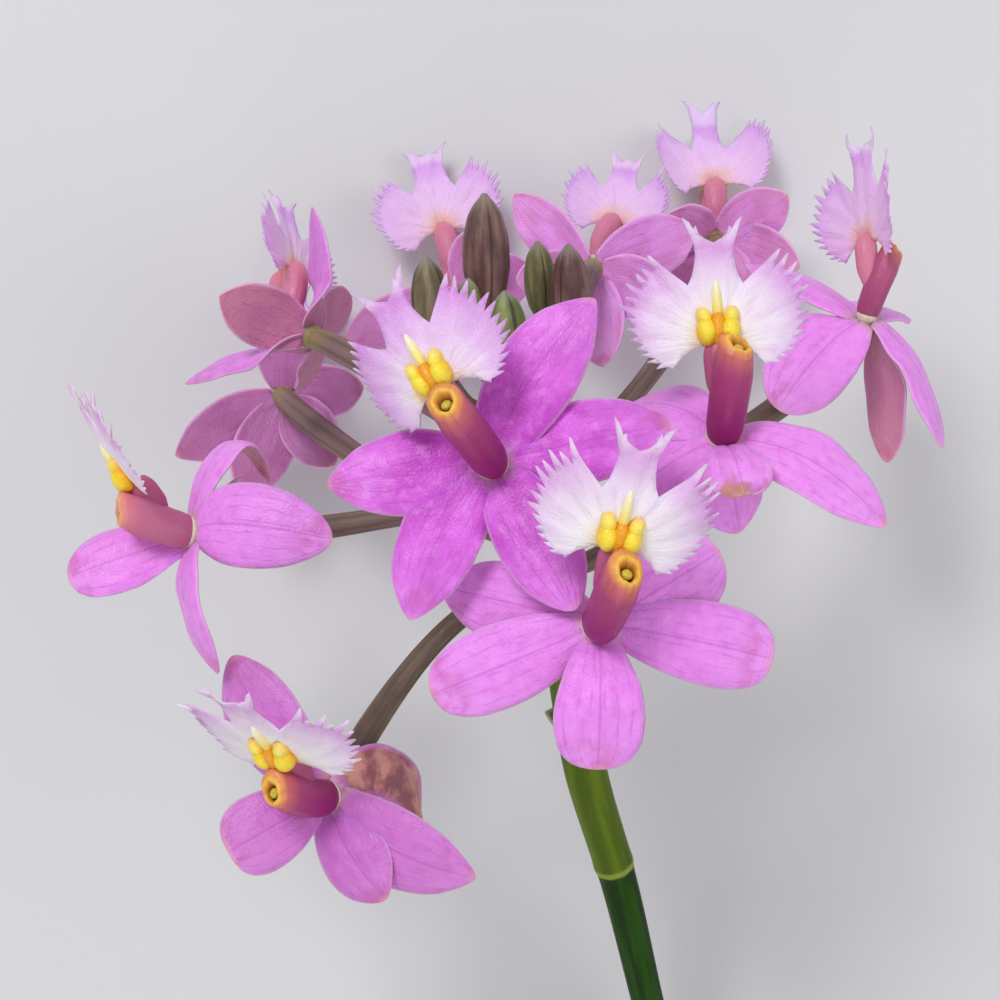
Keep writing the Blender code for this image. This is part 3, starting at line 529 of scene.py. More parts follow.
def lip_bent(flower, x, y, lift):
    """Points of the flat lip, and their height over it, on the lip as its flower holds it."""
    throat, right, up, forward, _ = lip_frame(flower)
    fold = math.radians(flower["fold"]) / LIP_FOLD_OVER + 1e-6
    arch = math.radians(flower["arch"]) / LIP_ARCH_OVER
    fallen = (1 - np.cos(fold * x)) / fold + arch * np.maximum(y - LIP_ARCH_FROM, 0) ** 2 / 2
    held = np.multiply.outer(np.sin(fold * x) / fold, right) + np.multiply.outer(y, up)
    return throat + flower["scale"] * (held + np.multiply.outer(lift - fallen, forward))


def stem_at(s):
    return smooth_line(STEM_LINE, STEM_RADII, s)


def tepal_stations(shape, rows):
    """Where the rows of a tepal stand along it. They close up towards the tip, unless it curls over."""
    even = np.linspace(0, 1, rows + 1)
    return even if shape["via"] else np.sin(np.pi / 2 * even)


def tepal_line(flower, shape, level, stations):
    """Points and directions along the middle of a tepal, and the way that it faces at each."""
    facing = unit(flower["facing"])
    tip = np.array(shape["tip"], float)
    sway = np.array((*shape["sway"], 0.0))
    inner = [np.array(p, float) for p in shape["via"]]
    if not inner:
        inner = [TEPAL_MIDDLE * tip + TEPAL_BOW * (shape["bow"] * facing + sway)]
    start = TEPAL_START * across(inner[0], facing) + level * facing
    spots = [bezier((start, *inner, tip), s) for s in stations]
    directions = [direction for _, direction in spots]
    if shape["via"]:
        return spots, carried(directions, facing)
    face = unit(shape["face"]) if shape["face"] else facing
    turns = [min(s / TEPAL_TURNED_BY, 1.0) for s in stations]
    return spots, [across(facing + (face - facing) * t, d) for t, d in zip(turns, directions)]


def tepal_widths(shape, stations):
    """Half the width of a tepal at each place along it."""
    def profile(s):
        taper = TEPAL_POINTED + (TEPAL_ROUND - TEPAL_POINTED) * shape["blunt"]
        return ((s + TEPAL_FOOT) / (1 + TEPAL_FOOT)) ** TEPAL_SWELL * (1 - s) ** taper

    widest = profile(np.linspace(0, 1, 50)).max()
    return shape["width"] / 2 * profile(np.asarray(stations)) / widest


def linear(red, green, blue):
    """A colour given in 0 to 255 as seen on a screen, as the shader's linear values."""
    seen = np.array((red, green, blue)) / 255
    return tuple(np.where(seen <= 0.04045, seen / 12.92, ((seen + 0.055) / 1.055) ** 2.4)) + (1.0,)


class Value:
    """What a shader node gives out. Arithmetic and calls on it add the nodes that work them out."""

    def __init__(self, shader, socket):
        self.shader = shader
        self.socket = socket

    def math(self, operation, other=0.0):
        return self.shader.add("Math", {0: self, 1: other}, operation=operation)

    def __add__(self, other):
        return self.math("ADD", other)

    def __sub__(self, other):
        return self.math("SUBTRACT", other)

    def __mul__(self, other):
        return self.math("MULTIPLY", other)

    def stretched(self, *scale):
        return self.shader.add("VectorMath", {0: self, 1: scale}, operation="MULTIPLY")

    def noise(self, scale=1.0, detail=2.0, distortion=0.0):
        inputs = {"Vector": self, "Scale": scale, "Detail": detail, "Distortion": distortion}
        return self.shader.add("TexNoise", inputs, "Fac")

    def cells(self, scale):
        return self.shader.add("TexVoronoi", {"Vector": self, "Scale": scale}, "Distance")

    def between(self, low, high, start=0.0, end=1.0):
        """Start below low, end above high, and a smooth turn in between."""
        inputs = {"Value": self, "From Min": low, "From Max": high, "To Min": start, "To Max": end}
        return self.shader.add("MapRange", inputs, interpolation_type="SMOOTHSTEP")

    def mix(self, a, b):
        """Colour a where this is 0, and colour b where it is 1."""
        return self.shader.add("Mix", {0: self, 6: a, 7: b}, 2, data_type="RGBA")

    def ramp(self, stops):
        """Colours by this, each at its own place."""
        made = self.shader.add("ValToRGB", {0: self})
        elements = made.socket.node.color_ramp.elements
        while len(elements) < len(stops):
            elements.new(0.5)
        for element, (place, colour) in zip(elements, stops):
            element.position = place
            element.color = linear(*colour)
        return made

    def relief(self, distance, under=None):
        """A bump over the normals under it. The full range of this stands for a distance in millimetres."""
        inputs = {"Distance": distance * MM, "Height": self}
        if under:
            inputs["Normal"] = under
        return self.shader.add("Bump", inputs)


class Shader:
    """A Principled material. Settings are numbers for its sockets, which a linked value overrides."""

    def __init__(self, name, **settings):
        self.material = bpy.data.materials.new(name)
        self.material.use_nodes = True
        self.tree = self.material.node_tree
        self.out = self.tree.nodes["Principled BSDF"]
        for socket, value in settings.items():
            self.out.inputs[socket.replace("_", " ")].default_value = value

    def add(self, kind, inputs, output=0, **settings):
        """Adds a node, and returns one of its outputs as a value."""
        made = self.tree.nodes.new("ShaderNode" + kind)
        for key, setting in settings.items():
            setattr(made, key, setting)
        for socket, value in inputs.items():
            self.give(made.inputs[socket], value)
        return Value(self, made.outputs[output])

    def give(self, socket, value):
        """Links a value to a socket, or sets a number on it, or a colour."""
        if isinstance(value, Value):
            self.tree.links.new(value.socket, socket)
        elif socket.type == "RGBA":
            socket.default_value = linear(*value)
        else:
            socket.default_value = value

    def stored(self):
        """What each point of a skin stores: the parts of its place, its lay and the parts of its tone."""
        place, lay, tone = [self.add("Attribute", {}, "Vector", attribute_name=name)
                            for name in ("place", "lay", "tone")]
        parts = [[self.add("SeparateXYZ", {0: vector}, axis) for axis in "XYZ"] for vector in (place, tone)]
        return parts[0], lay, parts[1]

    def finish(self, colour, normal, roughness):
        for socket, value in (("Base Color", colour), ("Normal", normal), ("Roughness", roughness)):
            self.give(self.out.inputs[socket], value)
        return self.material


class Skin:
    """Collects surfaces into one mesh. Each point also stores what its colour is worked out from.

    Place is where on its petal or stalk it is, as shares. Lay is the same in millimetres, for patterns.
    Tone is the same all over a surface.
    """

    def __init__(self):
        self.points = []
        self.faces = []
        self.place = []
        self.lay = []
        self.tone = []

    def add(self, points, faces, place, lay, tone):
        first = sum(len(p) for p in self.points)
        self.points.append(points)
        self.faces += [tuple(first + i for i in face) for face in faces]
        self.place.append(place)
        self.lay.append(lay)
        self.tone.append(np.tile(np.array(tone, float), (len(points), 1)))

    def piece(self, name, material, stands_in=True):
        """Makes the object. It stands in for the solid of that name, unless there is none."""
        made_name = "fine_" + name if stands_in else name
        mesh = bpy.data.meshes.new(made_name)
        mesh.from_pydata(((np.concatenate(self.points) + HEAD) * MM).tolist(), [], self.faces)
        for key, values in (("place", self.place), ("lay", self.lay), ("tone", self.tone)):
            layer = mesh.attributes.new(key, "FLOAT_VECTOR", "POINT")
            layer.data.foreach_set("vector", np.concatenate(values).astype(np.float32).ravel())
        mesh.materials.append(material)
        mesh.shade_smooth()
        made = bpy.data.objects.new(made_name, mesh)
        bpy.context.scene.collection.objects.link(made)
        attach(made, "root")
        if stands_in:
            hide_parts(name)


def above_floor(points, gap=0.0):
    """The points, with none lower than the floor, or than a gap over it."""
    return np.column_stack([points[:, :2], np.maximum(points[:, 2], FLOOR + gap)])


def rise(value, start, end):
    """0 before the start, 1 past the end, and an even rise in between."""
    return np.clip((value - start) / (end - start), 0, 1)


def hump(off, width):
    """1 where off is 0, and next to nothing two widths away."""
    return np.exp(-((off / width) ** 2))


def turns_round(sides):
    return 2 * np.pi * np.arange(sides) / sides


def shows_back(flower):
    return unit(flower["facing"])[2] < AWAY


def normals_of(points, triangles):
    corners = points[triangles]
    flat = np.cross(corners[:, 1] - corners[:, 0], corners[:, 2] - corners[:, 0])
    total = np.zeros_like(points)
    for corner in range(3):
        np.add.at(total, triangles[:, corner], flat)
    return total / np.maximum(np.linalg.norm(total, axis=1, keepdims=True), 1e-12)


def add_blade(skin, points, triangles, thick, place, lay, tone):
    """A petal of its own thickness at each point, closed round its edge.

    The last part of its place is 1 on its front and 0 on its back.
    """
    points = above_floor(points, thick / 2)
    off = normals_of(points, triangles) * thick[:, None] / 2
    count = len(points)
    both = above_floor(np.concatenate([points + off, points - off]))
    edges = np.concatenate([triangles[:, [0, 1]], triangles[:, [1, 2]], triangles[:, [2, 0]]])
    known = set(map(tuple, edges.tolist()))
    faces = triangles.tolist() + (triangles[:, ::-1] + count).tolist()
    faces += [(b, a, a + count, b + count) for a, b in known if (b, a) not in known]
    places = np.column_stack([np.tile(place, (2, 1)), np.repeat((1.0, 0.0), count)])
    skin.add(both, faces, places, np.tile(lay, (2, 1)), tone)


def ring_faces(rings, sides):
    """The faces between rings of points, which follow one another."""
    faces = []
    for ring in range(rings - 1):
        for k in range(sides):
            a = ring * sides + k
            b = ring * sides + (k + 1) % sides
            faces.append((a, b, b + sides, a + sides))
    return faces


def add_tube(skin, spots, radii, tone, sides=TUBE_SIDES, along=None, first=(0.13, 0.31, 0.94)):
    """A closed round skin along spots, each a point and a direction.

    Radii holds one number, or one for each side, for every ring. First says where its sides start.
    """
    rings = len(spots)
    centres = np.array([point for point, _ in spots])
    directions = [direction for _, direction in spots]
    radii = np.reshape(radii, (rings, -1)) * np.ones(sides)
    turns = turns_round(sides)
    points = []
    for centre, direction, side, reach in zip(centres, directions, carried(directions, first), radii):
        other = np.cross(direction, side)
        points += [centre + r * (math.cos(t) * side + math.sin(t) * other) for r, t in zip(reach, turns)]
    points += [centres[0], centres[-1]]
    last = (rings - 1) * sides
    faces = ring_faces(rings, sides)
    faces += [((k + 1) % sides, k, rings * sides) for k in range(sides)]
    faces += [(last + k, last + (k + 1) % sides, rings * sides + 1) for k in range(sides)]
    steps = distances(centres)
    if along is None:
        along = steps / steps[-1]
    along = np.append(np.repeat(along, sides), (along[0], along[-1]))
    steps = np.append(np.repeat(steps, sides), (0.0, steps[-1]))
    turned = np.append(np.tile(turns, rings), (0.0, 0.0))
    # The pattern runs round the tube on a circle of its own size, so it has no seam.
    wide = radii.mean()
    lay = np.column_stack([wide * np.cos(turned), wide * np.sin(turned), steps])
    place = np.column_stack([turned / (2 * np.pi), along, np.ones(len(points))])
    skin.add(above_floor(np.array(points)), faces, place, lay, tone)


def fine_tepal(flower, shape, level, draw, withered=0.0):
    """One tepal as a dense grid: points, triangles, place over it and its size in millimetres."""
    stations = tepal_stations(shape, FINE_TEPAL_ROWS)
    spots, normals = tepal_line(flower, shape, level, stations)
    tip_share = FINE_TIP_SHARE + (1 - FINE_TIP_SHARE) * shape["blunt"]
    halves = tepal_widths(shape, stations) * np.interp(stations, (FINE_TIP_FROM, 1), (1, tip_share))
    length = distances([middle for middle, _ in spots])[-1]
    waves = [[draw.uniform(*span) for span in EDGE_WAVES] for _ in range(2)]
    rib = draw.uniform(*RIB_DEPTHS)
    own = draw.uniform(0, PATTERN_REACH)
    rows = []
    for s, (middle, direction), normal, half in zip(stations[:-1], spots, normals, halves):
        side = np.cross(direction, normal)
        for u in np.linspace(-1, 1, FINE_TEPAL_COLUMNS + 1):
            height, rate, phase = waves[int(u > 0)]
            lift = -shape["cup"] * half * u * u
            lift += height * u * u * math.sin(2 * math.pi * rate * s + phase) * math.sin(math.pi * s)
            lift -= rib * hump(u, RIB_WIDTH) * (1 - s) ** 0.6
            lift += RIPPLE_HEIGHT * math.cos(u * RIPPLE_RATE) * math.sin(math.pi * s)
            lift += withered * WITHERED_LIFT * math.sin(5 * u + 9 * s) * math.sin(7 * s - 3 * u) * s
            rows.append((middle + half * u * side + lift * normal, (u, s), (half * u, length * s, own)))
    rows.append((spots[-1][0], (0.0, 1.0), (0.0, length, own)))
    points, place, lay = [np.array(column) for column in zip(*rows)]
    triangles = []
    wide = FINE_TEPAL_COLUMNS + 1
    for row in range(FINE_TEPAL_ROWS - 1):
        for column in range(FINE_TEPAL_COLUMNS):
            a = row * wide + column
            triangles += [(a, a + 1, a + wide + 1), (a, a + wide + 1, a + wide)]
    last = (FINE_TEPAL_ROWS - 1) * wide
    triangles += [(last + c, last + c + 1, len(points) - 1) for c in range(FINE_TEPAL_COLUMNS)]
    return np.array(flower["at"]) + points, np.array(triangles), place, lay


def show_perianth(flower, material):
    """The five tepals of a flower, and the hub that they stand on."""
    name = flower["name"]
    skin = Skin()
    draw = random.Random("tepals " + name)
    # How much painted shade darkens and dulls this flower's tepals.
    painted_shade_share = PAINTED_SHADE.get(name, 0.0)
    for index, (shape, level) in enumerate(zip(flower["tepals"], TEPAL_LEVELS)):
        withered = WITHERED.get((name, index), 0.0)
        points, triangles, place, lay = fine_tepal(flower, shape, level, draw, withered)
        edge = np.maximum(np.abs(place[:, 0]), rise(place[:, 1], 0.6, 1))
        thick = TEPAL_EDGE_THICK + (TEPAL_THICK - TEPAL_EDGE_THICK) * (1 - edge**3)
        shade = SHADES[name] + draw.uniform(-SHADE_VARIES, SHADE_VARIES)
        add_blade(skin, points, triangles, thick, place, lay, (shade, withered, painted_shade_share))
    facing = unit(flower["facing"])
    spots = [(np.array(flower["at"]) + level * facing, facing) for level, _ in HUB_RINGS]
    radii = [flower.get("stout", 1.0) * HUB_RADIUS * share for _, share in HUB_RINGS]
    add_tube(skin, spots, radii, (0.5, 0, 1), along=np.linspace(0, 1, len(spots)))
    skin.piece("perianth_" + name, material)


def show_column(flower, material):
    """A fleshy column whose rim curls in round an open mouth, with the anther cap seated in it."""
    name = flower["name"]
    skin = Skin()
    draw = random.Random("column " + name)
    at = np.array(flower["at"])
    facing = unit(flower["facing"])
    start = at + COLUMN_SUNK * facing
    tip = at + np.array(flower["column"])
    bend = start + COLUMN_BEND * np.linalg.norm(tip - start) * facing
    *_, beside = lip_frame(flower)
    stout = flower.get("stout", 1.0)
    even = np.linspace(0, 1, COLUMN_RINGS)
    spots = [bezier((start, bend, tip), s) for s in even]
    _, out = spots[-1]
    radii = list(stout * spread_over(even, COLUMN_RADII))
    along = list(COLUMN_END_FROM * even)
    for ahead, off, share, mark in COLUMN_END:
        spots.append((tip + stout * (ahead * out - off * beside), out))
        radii.append(stout * share * COLUMN_RADII[-1])
        along.append(mark)
    turns = turns_round(COLUMN_SIDES)
    shape = 1 + COLUMN_OVAL * np.cos(2 * turns) + COLUMN_UNEVEN * np.cos(3 * turns + draw.uniform(0, 6))
    pale = PALE_COLUMNS.get(name, PALE_BEHIND if shows_back(flower) else 0.0)
    add_tube(skin, spots, np.array(radii)[:, None] * shape, (draw.random(), pale, 0), COLUMN_SIDES,
             along=along, first=beside)
    # The end slants: it stands further out on the side next to the lip, with blunt lobes round the mouth.
    points = skin.points[0]
    for ring in range(COLUMN_RINGS - SLANTED_RINGS + 1, len(spots)):
        own = slice(ring * COLUMN_SIDES, (ring + 1) * COLUMN_SIDES)
        share = min((ring - COLUMN_RINGS) / SLANTED_RINGS + 1, 1)
        lean = COLUMN_SLANT * ((points[own] - tip) @ beside) + MOUTH_LOBES * np.cos(5 * turns)
        points[own] += share * lean[:, None] * out
    skin.points[0] = above_floor(points)
    levels = np.linspace(-0.95, 0.95, 9)
    deep, wide = CAP_SIZE
    cap = tip - stout * (0.05 * out + 0.4 * beside)
    spots = [(cap + deep * stout * level * out, out) for level in levels]
    add_tube(skin, spots, wide * stout * np.sqrt(1 - levels**2), (0.5, 0, 1), CAP_SIDES, first=beside)
    skin.piece("column_" + name, material)


def fine_lip_half(flower, draw):
    """The right half of a lip's outline with its fringe of fine fingers."""
    first, last = LIP_FRINGE_ANGLES
    outline = list(LIP_THROAT_EDGE)
    step = 1 / FINE_TEETH

    def add(along, extra):
        turn = math.radians(first + (last - first) * along)
        reach = spread_over(along, LIP_FRINGE_RADII) + extra
        outline.append((reach * math.sin(turn), reach * math.cos(turn)))

    for tooth in range(FINE_TEETH):
        start = tooth * step
        longest = spread_over(start, FINE_TOOTH_LENGTHS) * draw.uniform(*TOOTH_VARIES)
        lean = draw.uniform(*TOOTH_LEANS)
        add(start, -TOOTH_GAP * draw.random())
        for place, share in ((0.2, 0.3), (lean, 1), (lean + 0.12, 0.92), (0.86, 0.3)):
            add(start + place * step, share * longest)
    add(1.0, 0.0)
    longer, wider, filled = MIDDLE_LOBES.get(flower["name"], (1.0, 1.0, 0.0))
    for x, y in FINE_MIDDLE_LOBE:
        raised = filled * (LOBE_END - y) if y > LOBE_NOTCH else 0.0
        outline.append((x * wider, LOBE_FOOT + (y + raised - LOBE_FOOT) * longer))
    return outline


def inside(x, y, outline):
    """Which points lie inside the outline, and each one's distance from it."""
    ends = np.array(outline)
    starts = np.roll(ends, 1, axis=0)
    points = np.column_stack([x, y])[:, None]
    run = ends - starts
    t = np.clip(((points - starts) * run).sum(-1) / np.maximum((run**2).sum(-1), 1e-12), 0, 1)
    distance = np.linalg.norm(points - starts - t[..., None] * run, axis=-1).min(axis=1)
    crosses = (starts[:, 1] > points[..., 1]) != (ends[:, 1] > points[..., 1])
    slope = run[:, 0] / np.where(run[:, 1] == 0, 1e-12, run[:, 1])
    left = points[..., 0] < starts[:, 0] + (points[..., 1] - starts[:, 1]) * slope
    return (crosses & left).sum(axis=1) % 2 == 1, distance


def lip_relief(x, y, phase):
    """How high the pleats, waves, frills and keel of a lip stand over its flat shape."""
    turn = np.arctan2(x, y)
    reach = np.hypot(x, y)
    pleats, waves, frills = [height * np.sin(count * turn + (i + 1) * phase)
                             for i, (count, height) in enumerate(LIP_FOLDS)]
    keel = LIP_KEEL_HEIGHT * hump(x, LIP_KEEL_WIDTH) * rise(y, 1, 3) * rise(y, 9.5, 4.5)
    trough = LIP_KEEL_HEIGHT * hump(np.abs(x) - 1.3, 0.6) * rise(y, 7.5, 2.5) * (y > 0)
    body = (pleats + waves * (reach / LIP_REACH) ** 2) * rise(reach, 2.5, 5.5)
    return body + frills * rise(reach, 7.5, 11.5) ** 2 + keel - trough


def fine_lip(flower, draw):
    """A lip as a fine triangle mesh: points, triangles, thickness, place and flat coordinates."""
    right_half = fine_lip_half(flower, draw)
    left_half = fine_lip_half(flower, draw)
    outline = right_half + [(-x, y) for x, y in reversed(left_half[1:-1])]
    x, y = np.meshgrid(np.arange(*LIP_ACROSS, LIP_GRID), np.arange(*LIP_UP, LIP_GRID * LIP_ROW_SHARE))
    x[::2] += LIP_GRID / 2
    spots = np.column_stack([x.ravel(), y.ravel()])
    within, distance = inside(*spots.T, outline)
    corners = [Vector(p) for p in outline + spots[within & (distance > LIP_RIM_CLEAR)].tolist()]
    flat, _, triangles, *_ = delaunay_2d_cdt(corners, [], [list(range(len(outline)))], 1, 1e-5)
    flat = np.array([tuple(p) for p in flat])
    triangles = np.array(triangles)
    first, second, third = flat[triangles].transpose(1, 2, 0)
    one, two = second - first, third - first
    turned = one[0] * two[1] - one[1] * two[0] < 0
    triangles[turned] = triangles[turned][:, ::-1]
    x, y = flat.T
    _, distance = inside(x, y, outline)
    points = lip_bent(flower, x, y, lip_relief(x, y, draw.uniform(0, 6.3)))
    thick = LIP_EDGE_THICK + (LIP_THICK - LIP_EDGE_THICK) * rise(distance, 0, 1.2)
    place = np.column_stack([np.arctan2(x, y) / np.pi, np.hypot(x, y) / LIP_REACH])
    lay = np.column_stack([x, y, np.full(len(x), draw.uniform(0, PATTERN_REACH))])
    return points, triangles, thick, place, lay


def add_bulb(skin, flower, at, radii, lean, tone):
    """A smooth bulb that stands on the front of the lip and follows its bend."""
    turns = np.tile(turns_round(BULB_SIDES), BULB_RINGS)
    leans = np.repeat(np.linspace(0, np.pi, BULB_RINGS), BULB_SIDES)
    x = radii[0] * np.sin(leans) * np.cos(turns)
    y = radii[1] * np.cos(leans)
    up = np.sin(leans) * np.sin(turns)
    flat_x = at[0] + x * math.cos(lean) + y * math.sin(lean)
    flat_y = at[1] + y * math.cos(lean) - x * math.sin(lean)
    points = lip_bent(flower, flat_x, flat_y, np.maximum(at[2] + radii[2] * up, CALLUS_LOW))
    points = above_floor(points)
    place = np.column_stack([turns / (2 * np.pi), 0.5 - 0.5 * np.cos(leans), 0.5 + 0.5 * up])
    skin.add(points, ring_faces(BULB_RINGS, BULB_SIDES), place, points, tone)


def show_lip(flower, material, callus_material):
    """A lip, and the callus on it as a piece of its own."""
    name = flower["name"]
    draw = random.Random("lip " + name)
    skin = Skin()
    points, triangles, thick, place, lay = fine_lip(flower, draw)
    tone = (draw.random(), 0, LILAC.get(name, LILAC_BACK))
    add_blade(skin, points, triangles, thick, place, lay, tone)
    skin.piece("lip_" + name, material)
    callus = Skin()
    for at, radii, lean, pale in CALLUS:
        add_bulb(callus, flower, at, radii, lean, (draw.random(), pale, 0))
    callus.piece("callus_" + name, callus_material, stands_in=False)


def show_claw(flower, material):
    """The lip's claw, grown along the column's side."""
    throat, _, up, forward, beside = lip_frame(flower)
    path = column_path(flower)
    middle, along = path[int(CLAW_REACH * (len(path) - 1))]
    stout = flower.get("stout", 1.0)
    low = middle + 0.55 * stout * max(COLUMN_RADII) * across(beside, along)
    high = throat + 0.7 * up - 0.25 * forward
    bend = (low + high) / 2 + 0.25 * beside
    even = np.linspace(0, 1, CLAW_RINGS)
    spots = [bezier((low, bend, high), s) for s in even]
    radii = stout**0.5 * np.interp(even, *zip(*CLAW_SWELLS))
    pale = 1.0 if shows_back(flower) else 0.3
    skin = Skin()
    add_tube(skin, spots, radii, (0.4, pale, 0), along=np.linspace(0.3, COLUMN_END_FROM, CLAW_RINGS))
    skin.piece("claw_" + flower["name"], material, stands_in=False)


def show_pedicel(flower, material):
    """A stalk with six low ribs, which thickens into the ovary."""
    name = flower["name"]
    facing = unit(flower["facing"])
    end = np.array(flower["at"]) - STALK_SUNK * HUB_BACK * facing
    leave = np.array(flower["leave"], float)
    axis, direction, radius = stem_at(flower["root"])
    start = axis + STALK_SUNK * radius * across(leave, direction)
    arrive = np.array(flower.get("arrive", -PEDICEL_STRAIGHT * facing), float)
    even = np.linspace(0, 1, STALK_RINGS)
    spots = [bezier((start, start + leave, end + arrive, end), s) for s in even]
    twisted = turns_round(TUBE_SIDES) + STALK_TWIST * even[:, None]
    ribs = 1 + STALK_RIB_HEIGHT * np.cos(STALK_RIBS * twisted)
    draw = random.Random("stalk " + name)
    light = LIGHT_STALKS.get(name, draw.uniform(0.2, 0.6))
    skin = Skin()
    add_tube(skin, spots, spread_over(even, PEDICEL_RADII)[:, None] * ribs, (light, 0, 0))
    skin.piece("pedicel_" + name, material)


def show_bud(bud, material):
    """A closed bud, whose three outer tepals meet in seams."""
    name = bud["name"]
    base = np.array(bud["base"])
    tip = np.array(bud["tip"])
    axis, direction, radius = stem_at(bud["root"])
    out = across(base - axis, direction)
    start = axis + STALK_SUNK * radius * out
    pull = 0.4 * np.linalg.norm(base - start)
    heading = unit(tip - base)
    controls = (start, start + pull * out, base - pull * heading, base)
    spots = [bezier(controls, s) for s in np.linspace(0, 0.95, BUD_STALK_RINGS)]
    radii = [BUD_STALK_RADIUS] * len(spots)
    along = [0.0] * len(spots)
    knots = [a for a, _ in BUD_PROFILE] + [1.0]
    for s in 1 - (1 - np.linspace(0, 1, BUD_RINGS)) ** 1.2:
        spots.append((base + s * (tip - base), heading))
        # The swell is evened out over its neighbours.
        around = np.interp((s - 0.04, s, s + 0.04), knots, FINE_BUD_SWELLS) @ (0.3, 0.4, 0.3)
        radii.append(max(around * bud["radius"], 0.04 if s > 0.1 else 0.5))
        along.append(max(s, 0.01))
    seams = np.abs((BUD_SEAMS * turns_round(BUD_SIDES) + np.pi) % (2 * np.pi) - np.pi) / BUD_SEAMS
    shape = 1 - BUD_SEAM_DEPTH * hump(seams, BUD_SEAM_WIDTH)
    shape = np.where(np.array(along)[:, None] > 0.02, shape, 1.0)
    draw = random.Random("bud " + name)
    tone = (draw.random(), GREEN_BUDS.get(name, 0.0), 0)
    skin = Skin()
    add_tube(skin, spots, np.array(radii)[:, None] * shape, tone, BUD_SIDES, along, (0.25, 0.05, 0.95))
    skin.piece("bud_" + name, material)


def show_stem(material):
    """The stem with its node ring, and the bract at the lowest node."""
    even = np.linspace(0, 1, STEM_RINGS)
    line = [stem_at(s) for s in even]
    past = even - STEM_NODE
    sheath = np.where(past > 0, SHEATH_HEIGHT * np.exp(-past / SHEATH_LENGTH), 0)
    swell = 1 + NODE_HEIGHT * hump(past, NODE_WIDTH) + sheath
    radii = np.array([radius for _, _, radius in line]) * swell
    grooves = 1 + STEM_GROOVE_DEPTH * np.cos(STEM_GROOVES * turns_round(STEM_SIDES))
    skin = Skin()
    spots = [(point, direction) for point, direction, _ in line]
    add_tube(skin, spots, radii[:, None] * grooves, (0.5, 0, 0), STEM_SIDES, first=(0, 0, -1))
    axis, direction, radius = stem_at(BRACT["root"])
    tip = np.array(BRACT["tip"])
    out = across(tip - axis, direction)
    start = axis + 0.5 * radius * out
    shape = tepal(tip - start, BRACT["width"], bow=-0.2, blunt=0.6, cup=0.5, face=tuple(out))
    holder = dict(at=start, facing=out)
    points, triangles, place, lay = fine_tepal(holder, shape, 0.0, random.Random("bract"))
    thick = TEPAL_EDGE_THICK + BRACT_THICKER * (1 - np.abs(place[:, 0]) ** 3)
    # The bract's place starts where the stem's ends.
    place[:, 1] = 1 + place[:, 1] / 2
    add_blade(skin, points, triangles, thick, place, lay, (0.5, 1, 0))
    skin.piece("stem", material)


def tepal_shader():
    """Magenta-pink petal: fine lengthwise veins, a pale edge and base, cells that catch the light, and
    painted glints.
    """
    shader = Shader("petal", Roughness=0.42, Subsurface_Weight=0.12, Subsurface_Scale=0.0012,
                    Sheen_Weight=0.12, Specular_IOR_Level=0.45)
    (u, s, side), lay, (tone, withered, painted_shade_share) = shader.stored()
    edge = u.math("ABSOLUTE")
    mottle = lay.stretched(0.45, 0.25, 1).noise(detail=4)
    blotch = lay.stretched(1.1, 0.8, 1).noise(detail=3)
    wander = lay.stretched(0.5, 0.3, 1).noise() * 4.5
    strong = lay.stretched(0.8, 0.5, 1).noise()
    vein = (u * 21 + wander).math("COSINE").between(0.8, 1) * strong.between(0.35, 0.65)
    front = mottle.between(0.3, 0.72).mix(PETAL.deep, PETAL.bright)
    front = (tone * 0.85).mix(front, PETAL.pale)
    front = s.between(0.4, 1, 0, 0.3).mix(front, PETAL.towards_tip)
    front = blotch.between(0.5, 0.72, 0, 0.24).mix(front, PETAL.dark_patch)
    front = blotch.between(0.5, 0.28, 0, 0.26).mix(front, PETAL.light_patch)
    front = (vein * 0.2).mix(front, PETAL.vein)
    front = (edge.between(0.06, 0) * 0.35).mix(front, PETAL.rib)
    back = tone.mix(PETAL.violet_back, PETAL.salmon_back)
    back = mottle.between(0.62, 0.35, 0, 0.45).mix(back, PETAL.dark_back)
    back = (vein * 0.2).mix(back, PETAL.back_vein)
    tips = tone.mix(PETAL.violet_tip, PETAL.salmon_tip)
    back = s.between(0.55, 1, 0, 0.5).mix(back, tips)
    colour = side.mix(back, front)
    patch = lay.noise(0.5, 4)
    blush = patch.between(0.45, 0.62) * s.between(0.72, 1, 0, 0.55)
    colour = blush.mix(colour, PETAL.blush)
    # Painted shade: some flowers' tepals are darkened and dulled towards a shadowed mauve.
    colour = painted_shade_share.mix(colour, PETAL.dusk)
    colour = (edge.between(0.9, 1) * 0.55).mix(colour, PETAL.edge)
    colour = (s.between(0.13, 0) * side * 0.7).mix(colour, PETAL.base)
    # The hub is marked by a full one in the slot that carries painted shade, and no tepal has as much
    # painted shade as that.
    hub = s.between(0.4, 0.6).mix(PETAL.hub_back, PETAL.hub_front)
    colour = painted_shade_share.between(0.9, 1).mix(colour, hub)
    dry = side * (patch + s + withered).between(1.75, 2.05) * edge.between(0.95, 0.7, 0.25, 1)
    husk = patch.between(0.4, 0.62).mix(PETAL.dark_husk, PETAL.light_husk)
    colour = dry.mix(colour, husk)
    colour = s.between(0.95, 1, 0, 0.45).mix(colour, PETAL.tip)
    # Painted glints: pale specks where this fine noise is high, where the petal is also glossier.
    glint_noise = lay.noise(9)
    colour = (glint_noise.between(0.6, 0.74) * 0.22).mix(colour, PETAL.sparkle)
    normal = lay.cells(4.5).relief(0.045)
    normal = blotch.relief(0.1, normal)
    normal = (vein * -1).relief(0.03, normal)
    return shader.finish(colour, normal, glint_noise.between(0.3, 0.7, 0.5, 0.34))


